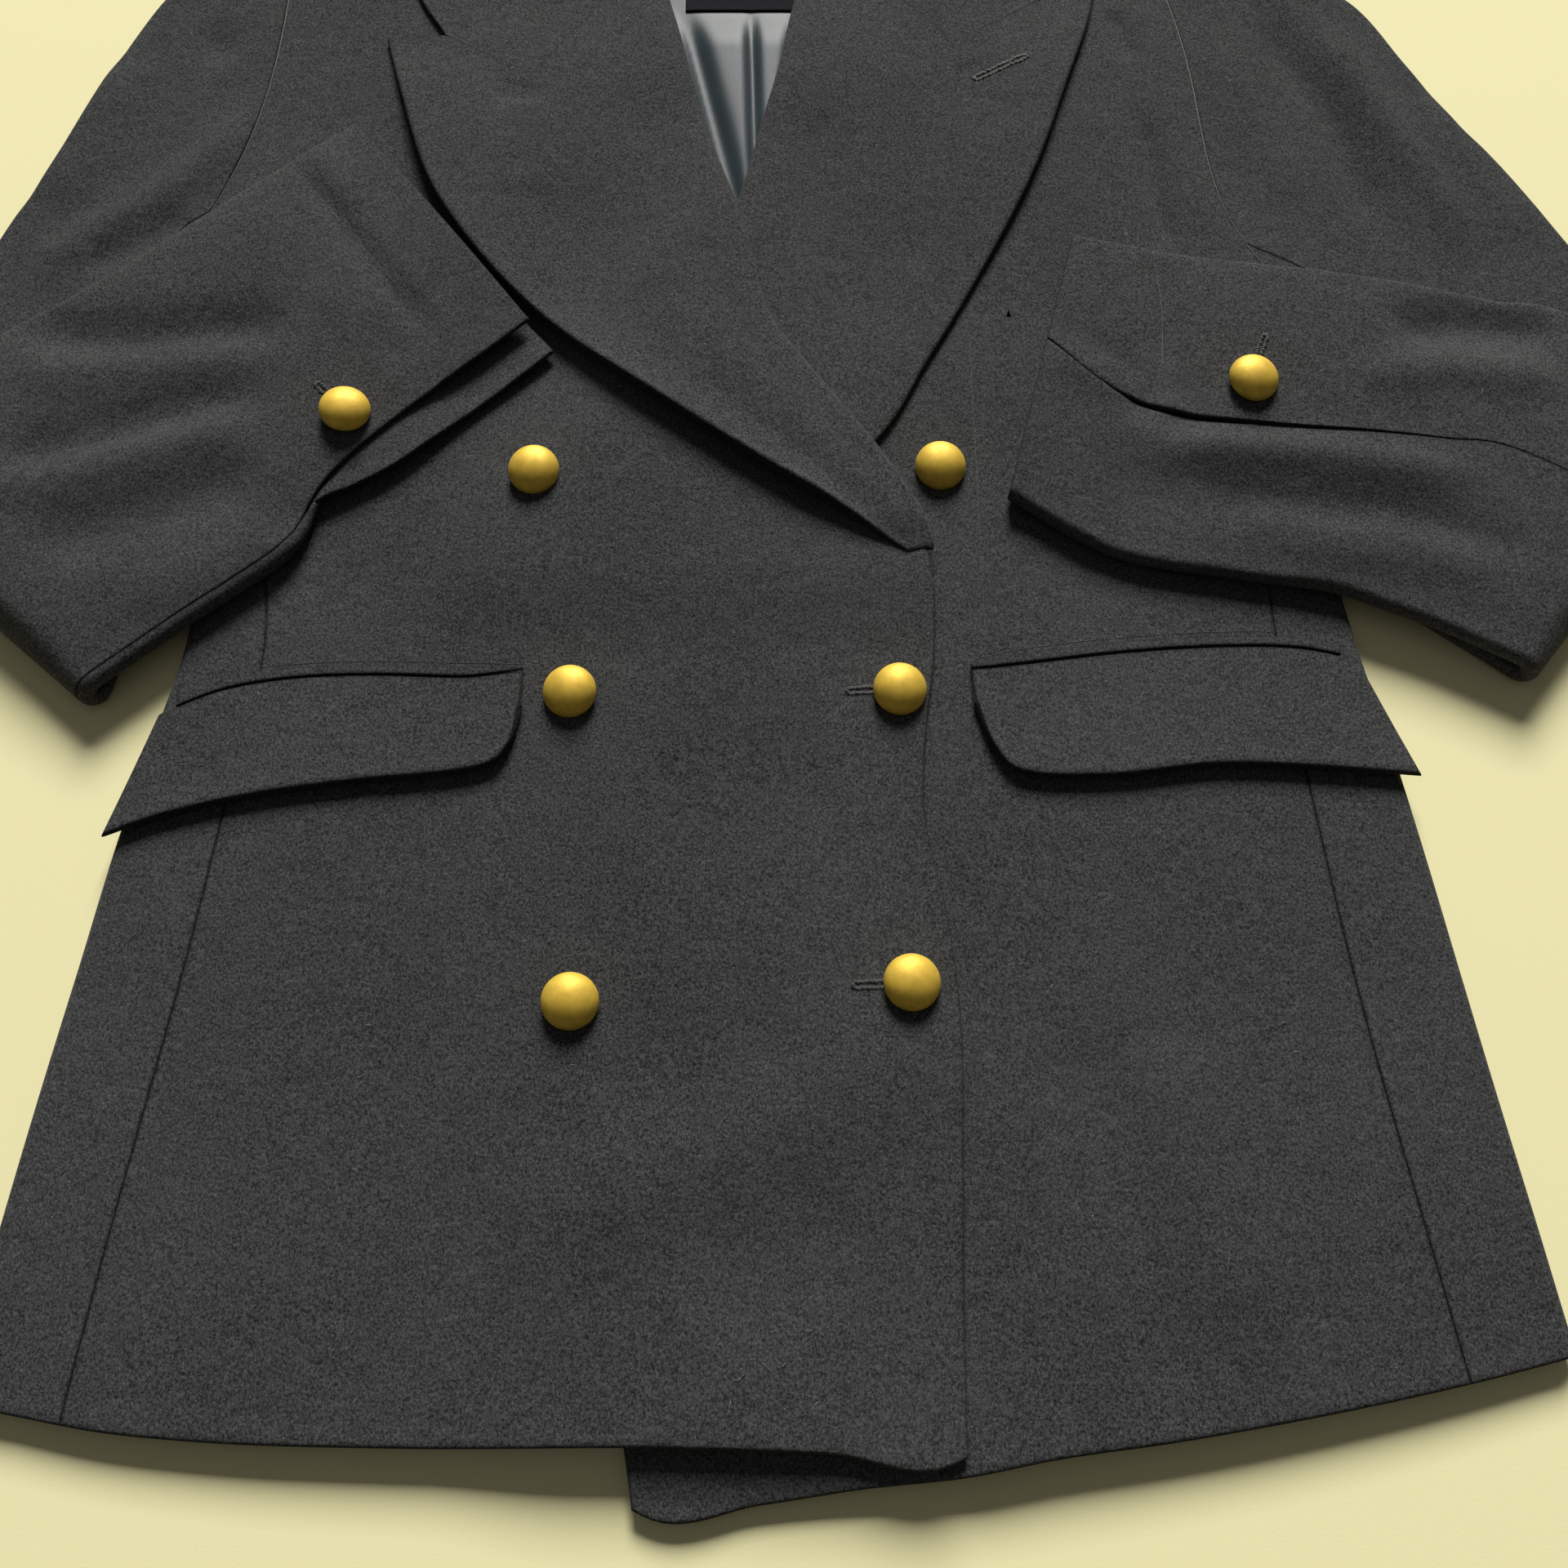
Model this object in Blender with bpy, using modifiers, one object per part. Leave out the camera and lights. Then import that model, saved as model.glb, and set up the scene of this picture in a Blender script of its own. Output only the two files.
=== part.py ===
"""Double-breasted wool blazer laid flat on a surface, sleeves folded across its front.

Sizes are in millimetres and are turned into metres when a mesh is made. +X is the wearer's left,
+Y runs from the hem to the collar, +Z is up. Every cloth piece is a sheet worked out from short tables
of its edges, and gets its thickness from a Solidify modifier. Heights come from what lies beneath.
"""

import math
from collections import namedtuple

import bpy
import numpy as np

MM = 0.001

# A fold's line, the half width of its bell-shaped section and its height, below nought for a trough
Fold = namedtuple("Fold", "x y half_width height")

# Cloth
CLOTH = 2.2
LINING_CLOTH = 1.0
WELT_CLOTH = 1.2
SEAM_GAP = 0.4
ROLL_GAP = 1.2
LAYER = 3.0

# Heights of the middle of the cloth above the surface
BACK_MIDDLE = CLOTH / 2
FRONT_MIDDLE = 6.8
CROWN = 3.6
CROWN_HALF_WIDTH = 268.0
CROWN_ENDS = (600, 705)
SHOULDER_DROP = 2.9
SHOULDER_DROP_LENGTH = 34.0
NECK_MIDDLE = -30

# The whole garment's box is centred on the origin
CENTRE_X = 3.1
CENTRE_Y = 375.9

# Side folds, outer surface, a row for each height up the body
SIDE_FOLDS = {
    "up": (-14, 20, 65, 115, 160, 213, 260, 300, 340, 400, 450, 487),
    "right": (-294, -291, -286, -280, -274, -267, -259, -252, -252, -262, -277, -288),
    "left": (286, 281, 275, 268, 262, 255, 248, 241, 236, 237, 242, 249),
}
# How far the front's seam with the side panel lies inside the fold
SEAM_INSET = {"up": (-20, 200, 290, 430, 487), "inset": (42.0, 42.0, 36.0, 14.0, 5.0)}
BACK_SEAM_INSET = 20.0
UNDERARM_GAP = 2.5

# Front edges up to the break, then the roll lines of the lapels up to the neck
FRONT_EDGES = {
    "up_right": (-16, 40, 93, 142, 177, 226, 249, 301, 336, 390, 429, 454, 511, 565, 602, 654, 700, 736),
    "right": (64, 65, 67, 68, 65, 57, 58, 64, 63, 37, 10, -7, -22, -39, -48, -60, -74, -104),
    "up_left": (-32, 50, 150, 250, 335, 420, 480, 515, 541, 577, 617, 658, 700, 738),
    "left": (-53, -66, -80, -92, -95, -61, -36, -22, -15, -7, 2, 9, 20, 44),
}
HEMS = {
    "across_right": (-294, -271, -235, -200, -131, -32, 19, 57, 66),
    "right": (5, 1, -5, -8, -10, -10, -12, -16, -12),
    "across_left": (-60, -49, -10, 25, 63, 90, 135, 196, 256, 286),
    "left": (-26, -32, -28, -23, -19, -14, -8, 2, 14, 21),
    "across_back": (-276, -200, -60, 60, 200, 266),
    "back": (16, 2, -2, -3, 10, 26),
}
HEM_DROOP = 5.6
HEM_DROOP_LENGTH = 26.0
HEM_DROOP_ENDS = (-10, 90)

# The right front rises over the left front's edge, and over the left lapel, between these places
OVERLAP_RISE = (-70, -12)
OVERLAP_ENDS = (520, 640)
LAPEL_UNDER = (292, 334)

# Armholes, each a straight line from shoulder point to underarm bowed towards the body
ARMHOLES = {
    "right": {"shoulder": (-250, 700), "underarm": (-288, 489), "bow": 14.0, "skew": 1.16},
    "left": {"shoulder": (186, 698), "underarm": (248, 466), "bow": -22.0, "skew": 2.1},
}
NECK_POINTS = {"right": (-104, 736), "left": (44, 740)}
BACK_NECK_DEPTH = 24.0
BACK_HEM_ENDS = (-268, 264)
ARMHOLE_TURN = (-2, 34)
# Rows of a front near its armhole, as shares of its length: the first two are above the underarm
ARMHOLE_ROWS = {"corner": 0.012, "above_corner": 0.03, "shoulder": 0.94}
# Rows of the back, from 0 at its hem to 1 at its neck, where its edges turn from side seams to armholes
ARMHOLE_TURN_ROWS = (0.652, 0.698)

# Lapels: a row for each section from the break up to the peak, with the roll and the outer edge
LAPELS = {
    "right": {
        "roll_up": (341, 366, 390, 429, 454, 511, 565, 602, 654, 700),
        "edge_x": (52, 18, -8, -55, -88, -126, -154, -171, -187, -197),
        "edge_y": (339, 362, 379, 413, 439, 478, 516, 549, 600, 634),
        "seam_x": (-74, -95, -123, -168, -197),
        "seam_y": (700, 651, 609, 636, 634),
    },
    "left": {
        "roll_up": (341, 380, 420, 480, 515, 541, 577, 617, 658, 704),
        "edge_x": (-84, -20, 36, 66, 91, 110, 124, 137, 150, 157),
        "edge_y": (339, 363, 392, 442, 489, 528, 562, 601, 640, 668),
        "seam_x": (21, 62, 84, 128, 157),
        "seam_y": (704, 657, 630, 660, 668),
    },
}
SEAM_STATIONS = (0.0, 0.26, 0.48, 0.78, 1.0)
LAPEL_EDGE_LIFT = {"right": 3.4, "left": 1.0}
LAPEL_ROLL_RISE = {"right": 1.6, "left": 0.8}
ROLL_RADIUS = LAYER / 2

# Collar: sections round the neck from the right gorge seam to the left one
COLLAR = {
    "inner_x": (-76, -88, -84, -62, -32, 0, 26, 40, 36, 23),
    "inner_y": (704, 716, 724, 722, 719, 719, 724, 728, 720, 708),
    "outer_x": (-168, -186, -184, -146, -84, -18, 50, 112, 140, 128),
    "outer_y": (637, 672, 716, 756, 778, 784, 781, 756, 714, 661),
    "rise": (0.0, 1.0, 3.0, 5.4, 6.4, 6.6, 6.2, 4.4, 1.6, 0.0),
}

# Sleeves: sections from the armhole to the elbow fold, then from the fold to the cuff
SLEEVES = {
    "right": {
        "upper_hind": ((-250, 700), (-290, 694), (-313, 668), (-338, 604), (-357, 547), (-370, 513), (-410, 385)),
        "upper_fore": ((-291, 488), (-291, 474), (-290, 450), (-286, 420), (-277, 380), (-270, 345), (-281, 278)),
        "lower_hind": ((-410, 385), (-352, 451), (-326, 471), (-299, 493), (-272, 517), (-244, 542), (-205, 574)),
        "lower_fore": ((-281, 278), (-247, 307), (-228, 322), (-209, 340), (-194, 372), (-166, 403), (-111, 453)),
        "hind_seam": (0.74, 0.93),
        "fore_seam": (0.80, 0.46),
        "vent_from": 10.3,
        "vent_reach": 15.0,
    },
    "left": {
        "upper_hind": ((186, 698), (240, 693), (284, 668), (308, 625), (327, 586), (350, 549), (415, 419)),
        "upper_fore": ((252, 464), (252, 450), (251, 430), (248, 395), (247, 360), (252, 330), (303, 288)),
        "lower_hind": ((415, 419), (353, 464), (322, 471), (281, 481), (236, 489), (182, 496), (133, 506)),
        "lower_fore": ((303, 288), (273, 304), (250, 314), (229, 322), (190, 328), (140, 338), (96, 366)),
        "hind_seam": (0.47, 0.47),
        "fore_seam": (0.80, 0.72),
        "vent_from": 99.0,
        "vent_reach": 0.0,
    },
}
SLEEVE_AXIS = 9.2
SLEEVE_FOLD_TURNS = (30, 60, 90, 120, 150)
SLEEVE_REST_GAP = 0.95
REST_REACH = (-13.0, 0.0, 13.0)
SLEEVE_PUFF = 2.6
DEEPEST_TROUGH = -1.4

# Largest folds: on each front, on each folded forearm and on each upper arm
FOLDS = {
    "front_right": (Fold((68, 13, -31, -77, -112), (139, 108, 89, 72, 46), 24, 2.2),),
    "front_left": (
        Fold((111, 126, 136, 145), (142, 72, 24, -6), 18, -2.2),
        Fold((137, 152, 166), (136, 72, 24), 20, 1.6),
    ),
    "forearm_right": (
        Fold((-348, -315, -283, -251, -220), (450, 443, 445, 450, 451), 13, -4.0),
        Fold((-318, -288, -259, -230), (385, 396, 407, 417), 12, -3.6),
        Fold((-334, -303, -273, -243, -218), (356, 366, 379, 391, 402), 12, 1.8),
        Fold((-308, -280, -251, -220), (329, 344, 358, 375), 13, -3.2),
    ),
    "forearm_left": (
        Fold((267, 301, 351), (451, 454, 449), 14, -4.0),
        Fold((135, 164, 201), (369, 365, 352), 12, -3.8),
        Fold((148, 184, 223, 261, 305), (380, 388, 385, 379, 369), 12, 2.4),
    ),
    "arm_right": (
        Fold((-347, -339, -319, -293, -274, -264), (481, 504, 522, 542, 563, 599), 12, 2.0),
        Fold((-329, -331, -347), (631, 568, 528), 20, 1.4),
    ),
    "arm_left": (
        Fold((243, 250, 265, 274, 284), (664, 626, 594, 558, 509), 12, -2.6),
        Fold((261, 276, 294, 312, 329), (653, 629, 583, 538, 499), 12, 2.2),
    ),
}

# Pockets: the slit, the flap's free edge below it and the top of its welt, from the front end to the side
POCKETS = {
    "right": {
        "x": (-107, -116, -132, -165, -200, -230, -256),
        "slit": (284, 283, 282, 284, 283, 278, 267),
        "free_x": (-107, -111, -124, -169, -212, -246, -270),
        "free": (268, 249, 240, 236, 230, 222, 213),
        "welt": (285, 285.5, 286, 288, 287, 284, 278),
    },
    "left": {
        "x": (77, 86, 102, 140, 178, 212, 238),
        "slit": (286, 287, 289, 294, 297, 297, 292),
        "free_x": (78, 85, 97, 132, 174, 216, 256),
        "free": (270, 250, 239, 238, 243, 242, 239),
        "welt": (288, 290, 293, 298, 301, 301, 297),
    },
}
FLAP_LIFT = 2.2

# Buttons: domes on a shank
BUTTON_RADIUS = 11.0
BUTTON_BACK_RADIUS = 10.2
BUTTON_DOME = 6.4
DOME_ANGLES = (18, 36, 54, 72)
BUTTON_RIM = 1.6
SHANK_RADIUS = 3.4
SHANK_HEIGHT = 2.4
BUTTON_SIDES = 14
FRONT_BUTTONS = {
    "right_top": ("right", -108, 380),
    "right_middle": ("right", -87, 275),
    "right_bottom": ("right", -81, 146),
    "left_top": ("left", 68, 385),
    "left_middle": ("right", 47, 276),
    "left_bottom": ("right", 48, 153),
}
SLEEVE_BUTTONS = {"right": (-192, 407), "left": (205, 422)}
# How far the puffed top of a folded sleeve stands up under its button
BUTTON_PUFF = {"right": 2.0, "left": 2.6}

# Lining and label seen inside the neck
LINING_BOX = {"right": -112.0, "left": 64.0, "low": 455.0, "high": 708.0}
LINING_FOLDS = {"x": (-46, -30, -12), "width": (7, 5, 6), "height": (2.6, 1.8, 2.2), "lean": (-0.10, 0.06, 0.12)}
LINING_FOLD_ENDS = {"low": (470, 520), "high": (605, 645)}
LABEL = {"x": (-50, 12), "y": (662, 692)}

FINISHES = {
    "wool": ((0.012, 0.014, 0.022, 1.0), 0.92, 0.0),
    "lining": ((0.030, 0.055, 0.085, 1.0), 0.38, 0.0),
    "brass": ((0.60, 0.40, 0.10, 1.0), 0.42, 1.0),
    "label": ((0.010, 0.010, 0.012, 1.0), 0.60, 0.0),
}


def ease(low, high, at):
    """Nought below low, one above high, and a smooth S between."""
    t = np.clip((at - low) / (high - low), 0, 1)
    return t * t * (3 - 2 * t)


def curve(knots, values, at):
    """A smooth line through a table's rows: cubic between rows, with the slope at a row taken from its neighbours."""
    knots = np.asarray(knots, float)
    values = np.asarray(values, float)
    slopes = np.gradient(values, knots)
    at = np.clip(at, knots[0], knots[-1])
    i = np.clip(np.searchsorted(knots, at) - 1, 0, len(knots) - 2)
    span = knots[i + 1] - knots[i]
    t = (at - knots[i]) / span
    return (
        (2 * t**3 - 3 * t**2 + 1) * values[i]
        + (t**3 - 2 * t**2 + t) * span * slopes[i]
        + (3 * t**2 - 2 * t**3) * values[i + 1]
        + (t**3 - t**2) * span * slopes[i + 1]
    )


def front_edge(side, up):
    """X of a front's own edge, and of its roll line above the break."""
    return curve(FRONT_EDGES["up_" + side], FRONT_EDGES[side], up)


def side_fold(side, up):
    """X of the outer surface of a side fold."""
    return curve(SIDE_FOLDS["up"], SIDE_FOLDS[side], up)


def side_seam(side, up):
    """X of the seam between a front and its side panel."""
    inward = 1 if side == "right" else -1
    return side_fold(side, up) + inward * curve(SEAM_INSET["up"], SEAM_INSET["inset"], up)


def armhole(side, up):
    """X of the armhole seam: a straight line with a skewed half sine wave as its bow."""
    cut = ARMHOLES[side]
    (top_x, top_y), (low_x, low_y) = cut["shoulder"], cut["underarm"]
    t = np.clip((top_y - up) / (top_y - low_y), 0, 1)
    return top_x + (low_x - top_x) * t + cut["bow"] * np.sin(math.pi * t ** cut["skew"])


def outer_edge(side, up):
    """X of a front's outer edge: the side seam, and above the underarm the armhole."""
    above = up > ARMHOLES[side]["underarm"][1]
    return np.where(above, armhole(side, up), side_seam(side, up))


def shoulder_line(side, across):
    """Y of the shoulder seam, straight from the neck point to the shoulder point."""
    neck_x, neck_y = NECK_POINTS[side]
    end_x, end_y = ARMHOLES[side]["shoulder"]
    return neck_y + (end_y - neck_y) * (across - neck_x) / (end_x - neck_x)


def shoulder_seam(x):
    """Y of the right shoulder seam right of the middle of the neck, and of the left one left of it."""
    return np.where(x < NECK_MIDDLE, shoulder_line("right", x), shoulder_line("left", x))


def line_distance(line_x, line_y, x, y):
    """Distance from a bent line, and how far along it the nearest point lies, from nought to one."""
    near = np.full(np.shape(x), np.inf)
    place = np.zeros(np.shape(x))
    steps = np.hypot(np.diff(line_x), np.diff(line_y))
    start = np.concatenate([[0], np.cumsum(steps)])
    for i, step in enumerate(steps):
        way_x = (line_x[i + 1] - line_x[i]) / step
        way_y = (line_y[i + 1] - line_y[i]) / step
        t = np.clip((x - line_x[i]) * way_x + (y - line_y[i]) * way_y, 0, step)
        far = np.hypot(x - line_x[i] - t * way_x, y - line_y[i] - t * way_y)
        place = np.where(far < near, start[i] + t, place)
        near = np.minimum(near, far)
    return near, place / start[-1]


def folds(name, x, y):
    """Sum of a piece's folds: a bell curve of the distance to each line, faded towards the line's ends."""
    rise = np.zeros(np.shape(x))
    for fold in FOLDS[name]:
        near, place = line_distance(fold.x, fold.y, x, y)
        fade = ease(-0.02, 0.3, place) * (1 - ease(0.7, 1.02, place))
        rise = rise + fold.height * fade * np.exp(-((near / fold.half_width) ** 2))
    return rise


def front_height(x, y):
    """Middle of one front layer: crowned across, and lowered to the shoulder seam."""
    crown = CROWN * np.clip(1 - (x / CROWN_HALF_WIDTH) ** 2, 0, 1) * (1 - ease(*CROWN_ENDS, y))
    drop = SHOULDER_DROP * ease(-SHOULDER_DROP_LENGTH, 0, y - shoulder_seam(x))
    return FRONT_MIDDLE + crown - drop


def left_front_height(x, y):
    """The left front lies under the right one, and droops where it passes the hem of the back."""
    back_hem = curve(HEMS["across_back"], HEMS["back"], x)
    past = ease(-HEM_DROOP_LENGTH * 0.3, HEM_DROOP_LENGTH, back_hem - y)
    droop = HEM_DROOP * past * (1 - ease(*HEM_DROOP_ENDS, x))
    return front_height(x, y) - droop + folds("front_left", x, y)


def right_front_height(x, y):
    """The right front rises a layer over the left front, and another over the left lapel."""
    over_front = ease(*OVERLAP_RISE, x - front_edge("left", y)) * (1 - ease(*OVERLAP_ENDS, y))
    over_lapel = over_front * ease(*LAPEL_UNDER, y)
    return front_height(x, y) + LAYER * (over_front + over_lapel) + folds("front_right", x, y)


def panel_height(side, x, y):
    """Middle of the right or the left front."""
    return right_front_height(x, y) if side == "right" else left_front_height(x, y)


def rest_height(side, x, y):
    """Top of the front that a folded sleeve rests on: the highest point within a short way across."""
    return np.max([panel_height(side, x + way, y) for way in REST_REACH], axis=0) + CLOTH / 2


def stations(count, start=0.0, end=1.0):
    """Evenly spaced places from the start to the end."""
    return np.linspace(start, end, count)


def sheet(name, grid, cloth, finish):
    """Makes a grid of points, in rows and columns, into a mesh with a Solidify wall of the cloth's thickness."""
    rows, columns = grid.shape[:2]
    points = (grid.reshape(-1, 3) - (CENTRE_X, CENTRE_Y, 0)) * MM
    index = np.arange(rows * columns).reshape(rows, columns)
    corners = [index[:-1, :-1], index[:-1, 1:], index[1:, 1:], index[1:, :-1]]
    faces = np.stack(corners, axis=-1).reshape(-1, 4)
    mesh = bpy.data.meshes.new(name)
    mesh.from_pydata(points.tolist(), [], faces.tolist())
    mesh.shade_smooth()
    piece = bpy.data.objects.new(name, mesh)
    piece.data.materials.append(bpy.data.materials[finish])
    bpy.data.collections["blazer"].objects.link(piece)
    wall = piece.modifiers.new("wall", "SOLIDIFY")
    wall.thickness = cloth * MM
    wall.offset = 0
    return piece


def make_front(side, columns=13):
    """A front from its edge and roll line out to the side seam and the armhole, and from hem to shoulder.

    Its rows lie closer together where the outer edge turns from the side seam to the armhole.
    """
    inward = 1 if side == "right" else -1
    low_side = float(curve(HEMS["across_" + side], HEMS[side], outer_edge(side, 10.0)))
    high_side = ARMHOLES[side]["shoulder"][1]
    underarm = (ARMHOLES[side]["underarm"][1] - low_side) / (high_side - low_side)
    beside_arm = stations(5, underarm + ARMHOLE_ROWS["above_corner"], ARMHOLE_ROWS["shoulder"])
    above_arm = stations(5, ARMHOLE_ROWS["shoulder"] + 0.015, 1)
    corner = (underarm + ARMHOLE_ROWS["corner"],)
    up = np.concatenate([stations(17, 0, underarm), corner, beside_arm, above_arm])[:, None]
    out = stations(columns)[None, :]
    neck_x, _ = NECK_POINTS[side]
    end_x, _ = ARMHOLES[side]["shoulder"]
    low_edge = front_edge(side, HEMS[side][-1] if side == "right" else HEMS[side][0])
    low_x = low_edge + (outer_edge(side, 10.0) - low_edge) * out
    low_y = curve(HEMS["across_" + side], HEMS[side], low_x)
    high_y = shoulder_line(side, neck_x + (end_x - neck_x) * out) - SEAM_GAP
    y = low_y + (high_y - low_y) * up
    inner = front_edge(side, y) - inward * ROLL_GAP
    outer = outer_edge(side, y) + inward * 2 * SEAM_GAP
    x = inner + (outer - inner) * out
    grid = np.stack([x, y, panel_height(side, x, y)], axis=-1)
    return sheet("front_" + side, grid, CLOTH, "wool")


def make_side_panel(side, rows=15):
    """A side panel: from its seam on the front, round the fold, to its seam on the back."""
    inward = 1 if side == "right" else -1
    top = ARMHOLES[side]["underarm"][1] - UNDERARM_GAP - CLOTH
    face = stations(4)[None, :]
    turn = stations(7, 0, math.pi)[None, 1:-1]
    bend = (FRONT_MIDDLE - BACK_MIDDLE) / 2 + CLOTH / 2
    low_inset = SEAM_INSET["inset"][0]
    low_inside = np.concatenate([low_inset + (bend - low_inset) * face, bend + 0 * turn, bend + 0 * face], axis=1)
    hem = curve(HEMS["across_" + side], HEMS[side], side_fold(side, 10.0) + inward * low_inside)
    y = hem + (top - hem) * stations(rows)[:, None]
    inset = curve(SEAM_INSET["up"], SEAM_INSET["inset"], y)
    fold = side_fold(side, y)
    high = panel_height(side, fold + inward * bend, y)
    radius = (high - BACK_MIDDLE) / 2
    columns = face.shape[1]
    bent = slice(columns, -columns)
    start = inset[:, :columns] - SEAM_GAP
    above = start + (bend - start) * face
    below = bend + (BACK_SEAM_INSET - SEAM_GAP - bend) * face + 0 * above
    inside = np.concatenate([above, bend - radius[:, bent] * np.sin(turn), below], axis=1)
    x = fold + inward * inside
    height = np.concatenate(
        [
            panel_height(side, x[:, :columns], y[:, :columns]),
            BACK_MIDDLE + radius[:, bent] * (1 + np.cos(turn)),
            BACK_MIDDLE + 0 * below,
        ],
        axis=1,
    )
    return sheet("side_" + side, np.stack([x, y, height], axis=-1), CLOTH, "wool")


def make_back(rows=20, columns=13):
    """The back, flat on the surface, from its hem to the shoulder seams and the neck."""
    across = stations(columns)[None, :]
    up = np.unique(np.concatenate([stations(rows), ARMHOLE_TURN_ROWS]))[:, None]
    low_x = BACK_HEM_ENDS[0] + (BACK_HEM_ENDS[1] - BACK_HEM_ENDS[0]) * across
    low_y = curve(HEMS["across_back"], HEMS["back"], low_x)
    right_end = ARMHOLES["right"]["shoulder"][0]
    left_end = ARMHOLES["left"]["shoulder"][0]
    high_x = right_end + (left_end - right_end) * across
    right_neck, left_neck = NECK_POINTS["right"], NECK_POINTS["left"]
    over = np.clip((high_x - right_neck[0]) / (left_neck[0] - right_neck[0]), 0, 1)
    neck_y = right_neck[1] + (left_neck[1] - right_neck[1]) * over
    neck_y = neck_y - BACK_NECK_DEPTH * np.sin(math.pi * over)
    high_y = np.where((over > 0) & (over < 1), neck_y, shoulder_seam(high_x)) - SEAM_GAP
    y = low_y + (high_y - low_y) * up
    edges = {}
    for side, inward in (("right", 1), ("left", -1)):
        body = side_fold(side, y) + inward * (BACK_SEAM_INSET + SEAM_GAP)
        arm_y = ARMHOLES[side]["underarm"][1]
        arm = armhole(side, y) + inward * SEAM_GAP
        turned = ease(arm_y + ARMHOLE_TURN[0], arm_y + ARMHOLE_TURN[1], y)
        edges[side] = body + (arm - body) * turned
    x = edges["right"] + (edges["left"] - edges["right"]) * across
    return sheet("back", np.stack([x, y, BACK_MIDDLE + 0 * x], axis=-1), CLOTH, "wool")


def make_lapel(side, rows=17):
    """A lapel turned back over its front, from the rolled edge out to the peak, its top cut along the gorge seam."""
    table = LAPELS[side]
    inward = 1 if side == "right" else -1
    row = stations(len(table["roll_up"]), 0, 1)
    up = stations(rows)[:, None]
    roll_y = curve(row, table["roll_up"], up)
    edge = np.stack([curve(row, table["edge_x"], up), curve(row, table["edge_y"], up)], axis=-1)
    roll = np.stack([front_edge(side, roll_y), roll_y], axis=-1)
    turn = stations(5, 0, math.pi)[:-1]
    out = np.array((0.06, 0.15, 0.26, 0.37, 0.48, 0.58, 0.68, 0.78, 0.9, 1.0))
    bend_out = np.concatenate([0 * turn, out])[None, :, None]
    place = roll + (edge - roll) * bend_out
    top = np.stack([np.interp(out, SEAM_STATIONS, table[axis]) for axis in ("seam_x", "seam_y")], axis=-1)
    pull = ease(0.72, 1.0, up)[:, :, None]
    place[:, len(turn):] += pull * (top[None] - place[-1:, len(turn):])
    beyond = np.concatenate([ROLL_RADIUS * np.sin(turn), 0 * out])
    rolled = np.concatenate([0.5 - 0.5 * np.cos(turn), 1 + 0 * out])
    x = place[..., 0] + inward * (beyond + ROLL_GAP * (bend_out[..., 0] == 0))
    y = place[..., 1]
    across = bend_out[..., 0]
    free = ease(0.0, 0.16, up) * (1 - ease(0.80, 1.0, up))
    buried = 1 if side == "right" else ease(500, 560, roll_y)
    crown = (1 - np.cos(2 * math.pi * np.clip(across / 0.7, 0, 1))) / 2
    rise = LAPEL_ROLL_RISE[side] * crown * ease(0, 0.2, up) * buried
    lift = LAPEL_EDGE_LIFT[side] * across**3 * free * buried
    z = panel_height(side, x, y) + LAYER * rolled + rise + lift
    return sheet("lapel_" + side, np.stack([x, y, z], axis=-1), CLOTH, "wool")


def make_collar(rows=24):
    """The collar round the neck: its ends follow the gorge seams, and behind the neck it rises and falls over."""
    row = stations(len(COLLAR["inner_x"]))
    round_neck = stations(rows)[:, None]
    out = np.array((0.0, 0.12, 0.26, 0.42, 0.6, 0.8, 1.0))[None, :]
    points = []
    for axis in ("x", "y"):
        inner = curve(row, COLLAR["inner_" + axis], round_neck)
        outer = curve(row, COLLAR["outer_" + axis], round_neck)
        points.append(inner + (outer - inner) * out)
    x, y = points
    for side, end, pull in (("right", 0, 1 - ease(0, 0.16, round_neck)), ("left", -1, ease(0.84, 1, round_neck))):
        table = LAPELS[side]
        reach = out[0] * SEAM_STATIONS[-2]
        seam_x = np.interp(reach, SEAM_STATIONS, table["seam_x"])
        seam_y = np.interp(reach, SEAM_STATIONS, table["seam_y"]) + 3 * SEAM_GAP
        x = x + pull * (seam_x - x[end])
        y = y + pull * (seam_y - y[end])
    rise = curve(row, COLLAR["rise"], round_neck)
    over = front_height(x, y) + LAYER
    beyond = ease(-10, 30, y - shoulder_seam(x))
    behind = ease(0, 3, rise)
    z = over * (1 - behind * beyond) + behind * beyond * (BACK_MIDDLE + 3.2)
    z = z + rise * np.sin(math.pi * np.clip(out / 0.62, 0, 1)) ** 1.3
    return sheet("collar", np.stack([x, y, z], axis=-1), CLOTH, "wool")


def sleeve_rows(side, rows_upper, rows_lower):
    """A sleeve's sections: hind and fore edge, turn about the elbow fold, and place along the sleeve from 0 to 13."""
    table = SLEEVES[side]
    last = len(table["upper_hind"]) - 1
    along_upper = stations(rows_upper, 0, last)
    along_lower = stations(rows_lower, 0, last)
    turns = np.radians(SLEEVE_FOLD_TURNS)
    parts = {}
    for edge in ("hind", "fore"):
        upper = np.array(table["upper_" + edge], float)
        lower = np.array(table["lower_" + edge], float)
        above = np.stack([curve(range(last + 1), upper[:, k], along_upper) for k in (0, 1)], axis=-1)
        below = np.stack([curve(range(last + 1), lower[:, k], along_lower) for k in (0, 1)], axis=-1)
        fold = np.repeat(upper[-1:], len(turns), axis=0)
        parts[edge] = np.concatenate([above, fold, below])
    turn = np.concatenate([0 * along_upper, turns, math.pi + 0 * along_lower])
    along = np.concatenate([along_upper, last + turns / math.pi, last + 1 + along_lower])
    return parts["hind"], parts["fore"], turn, along


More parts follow.
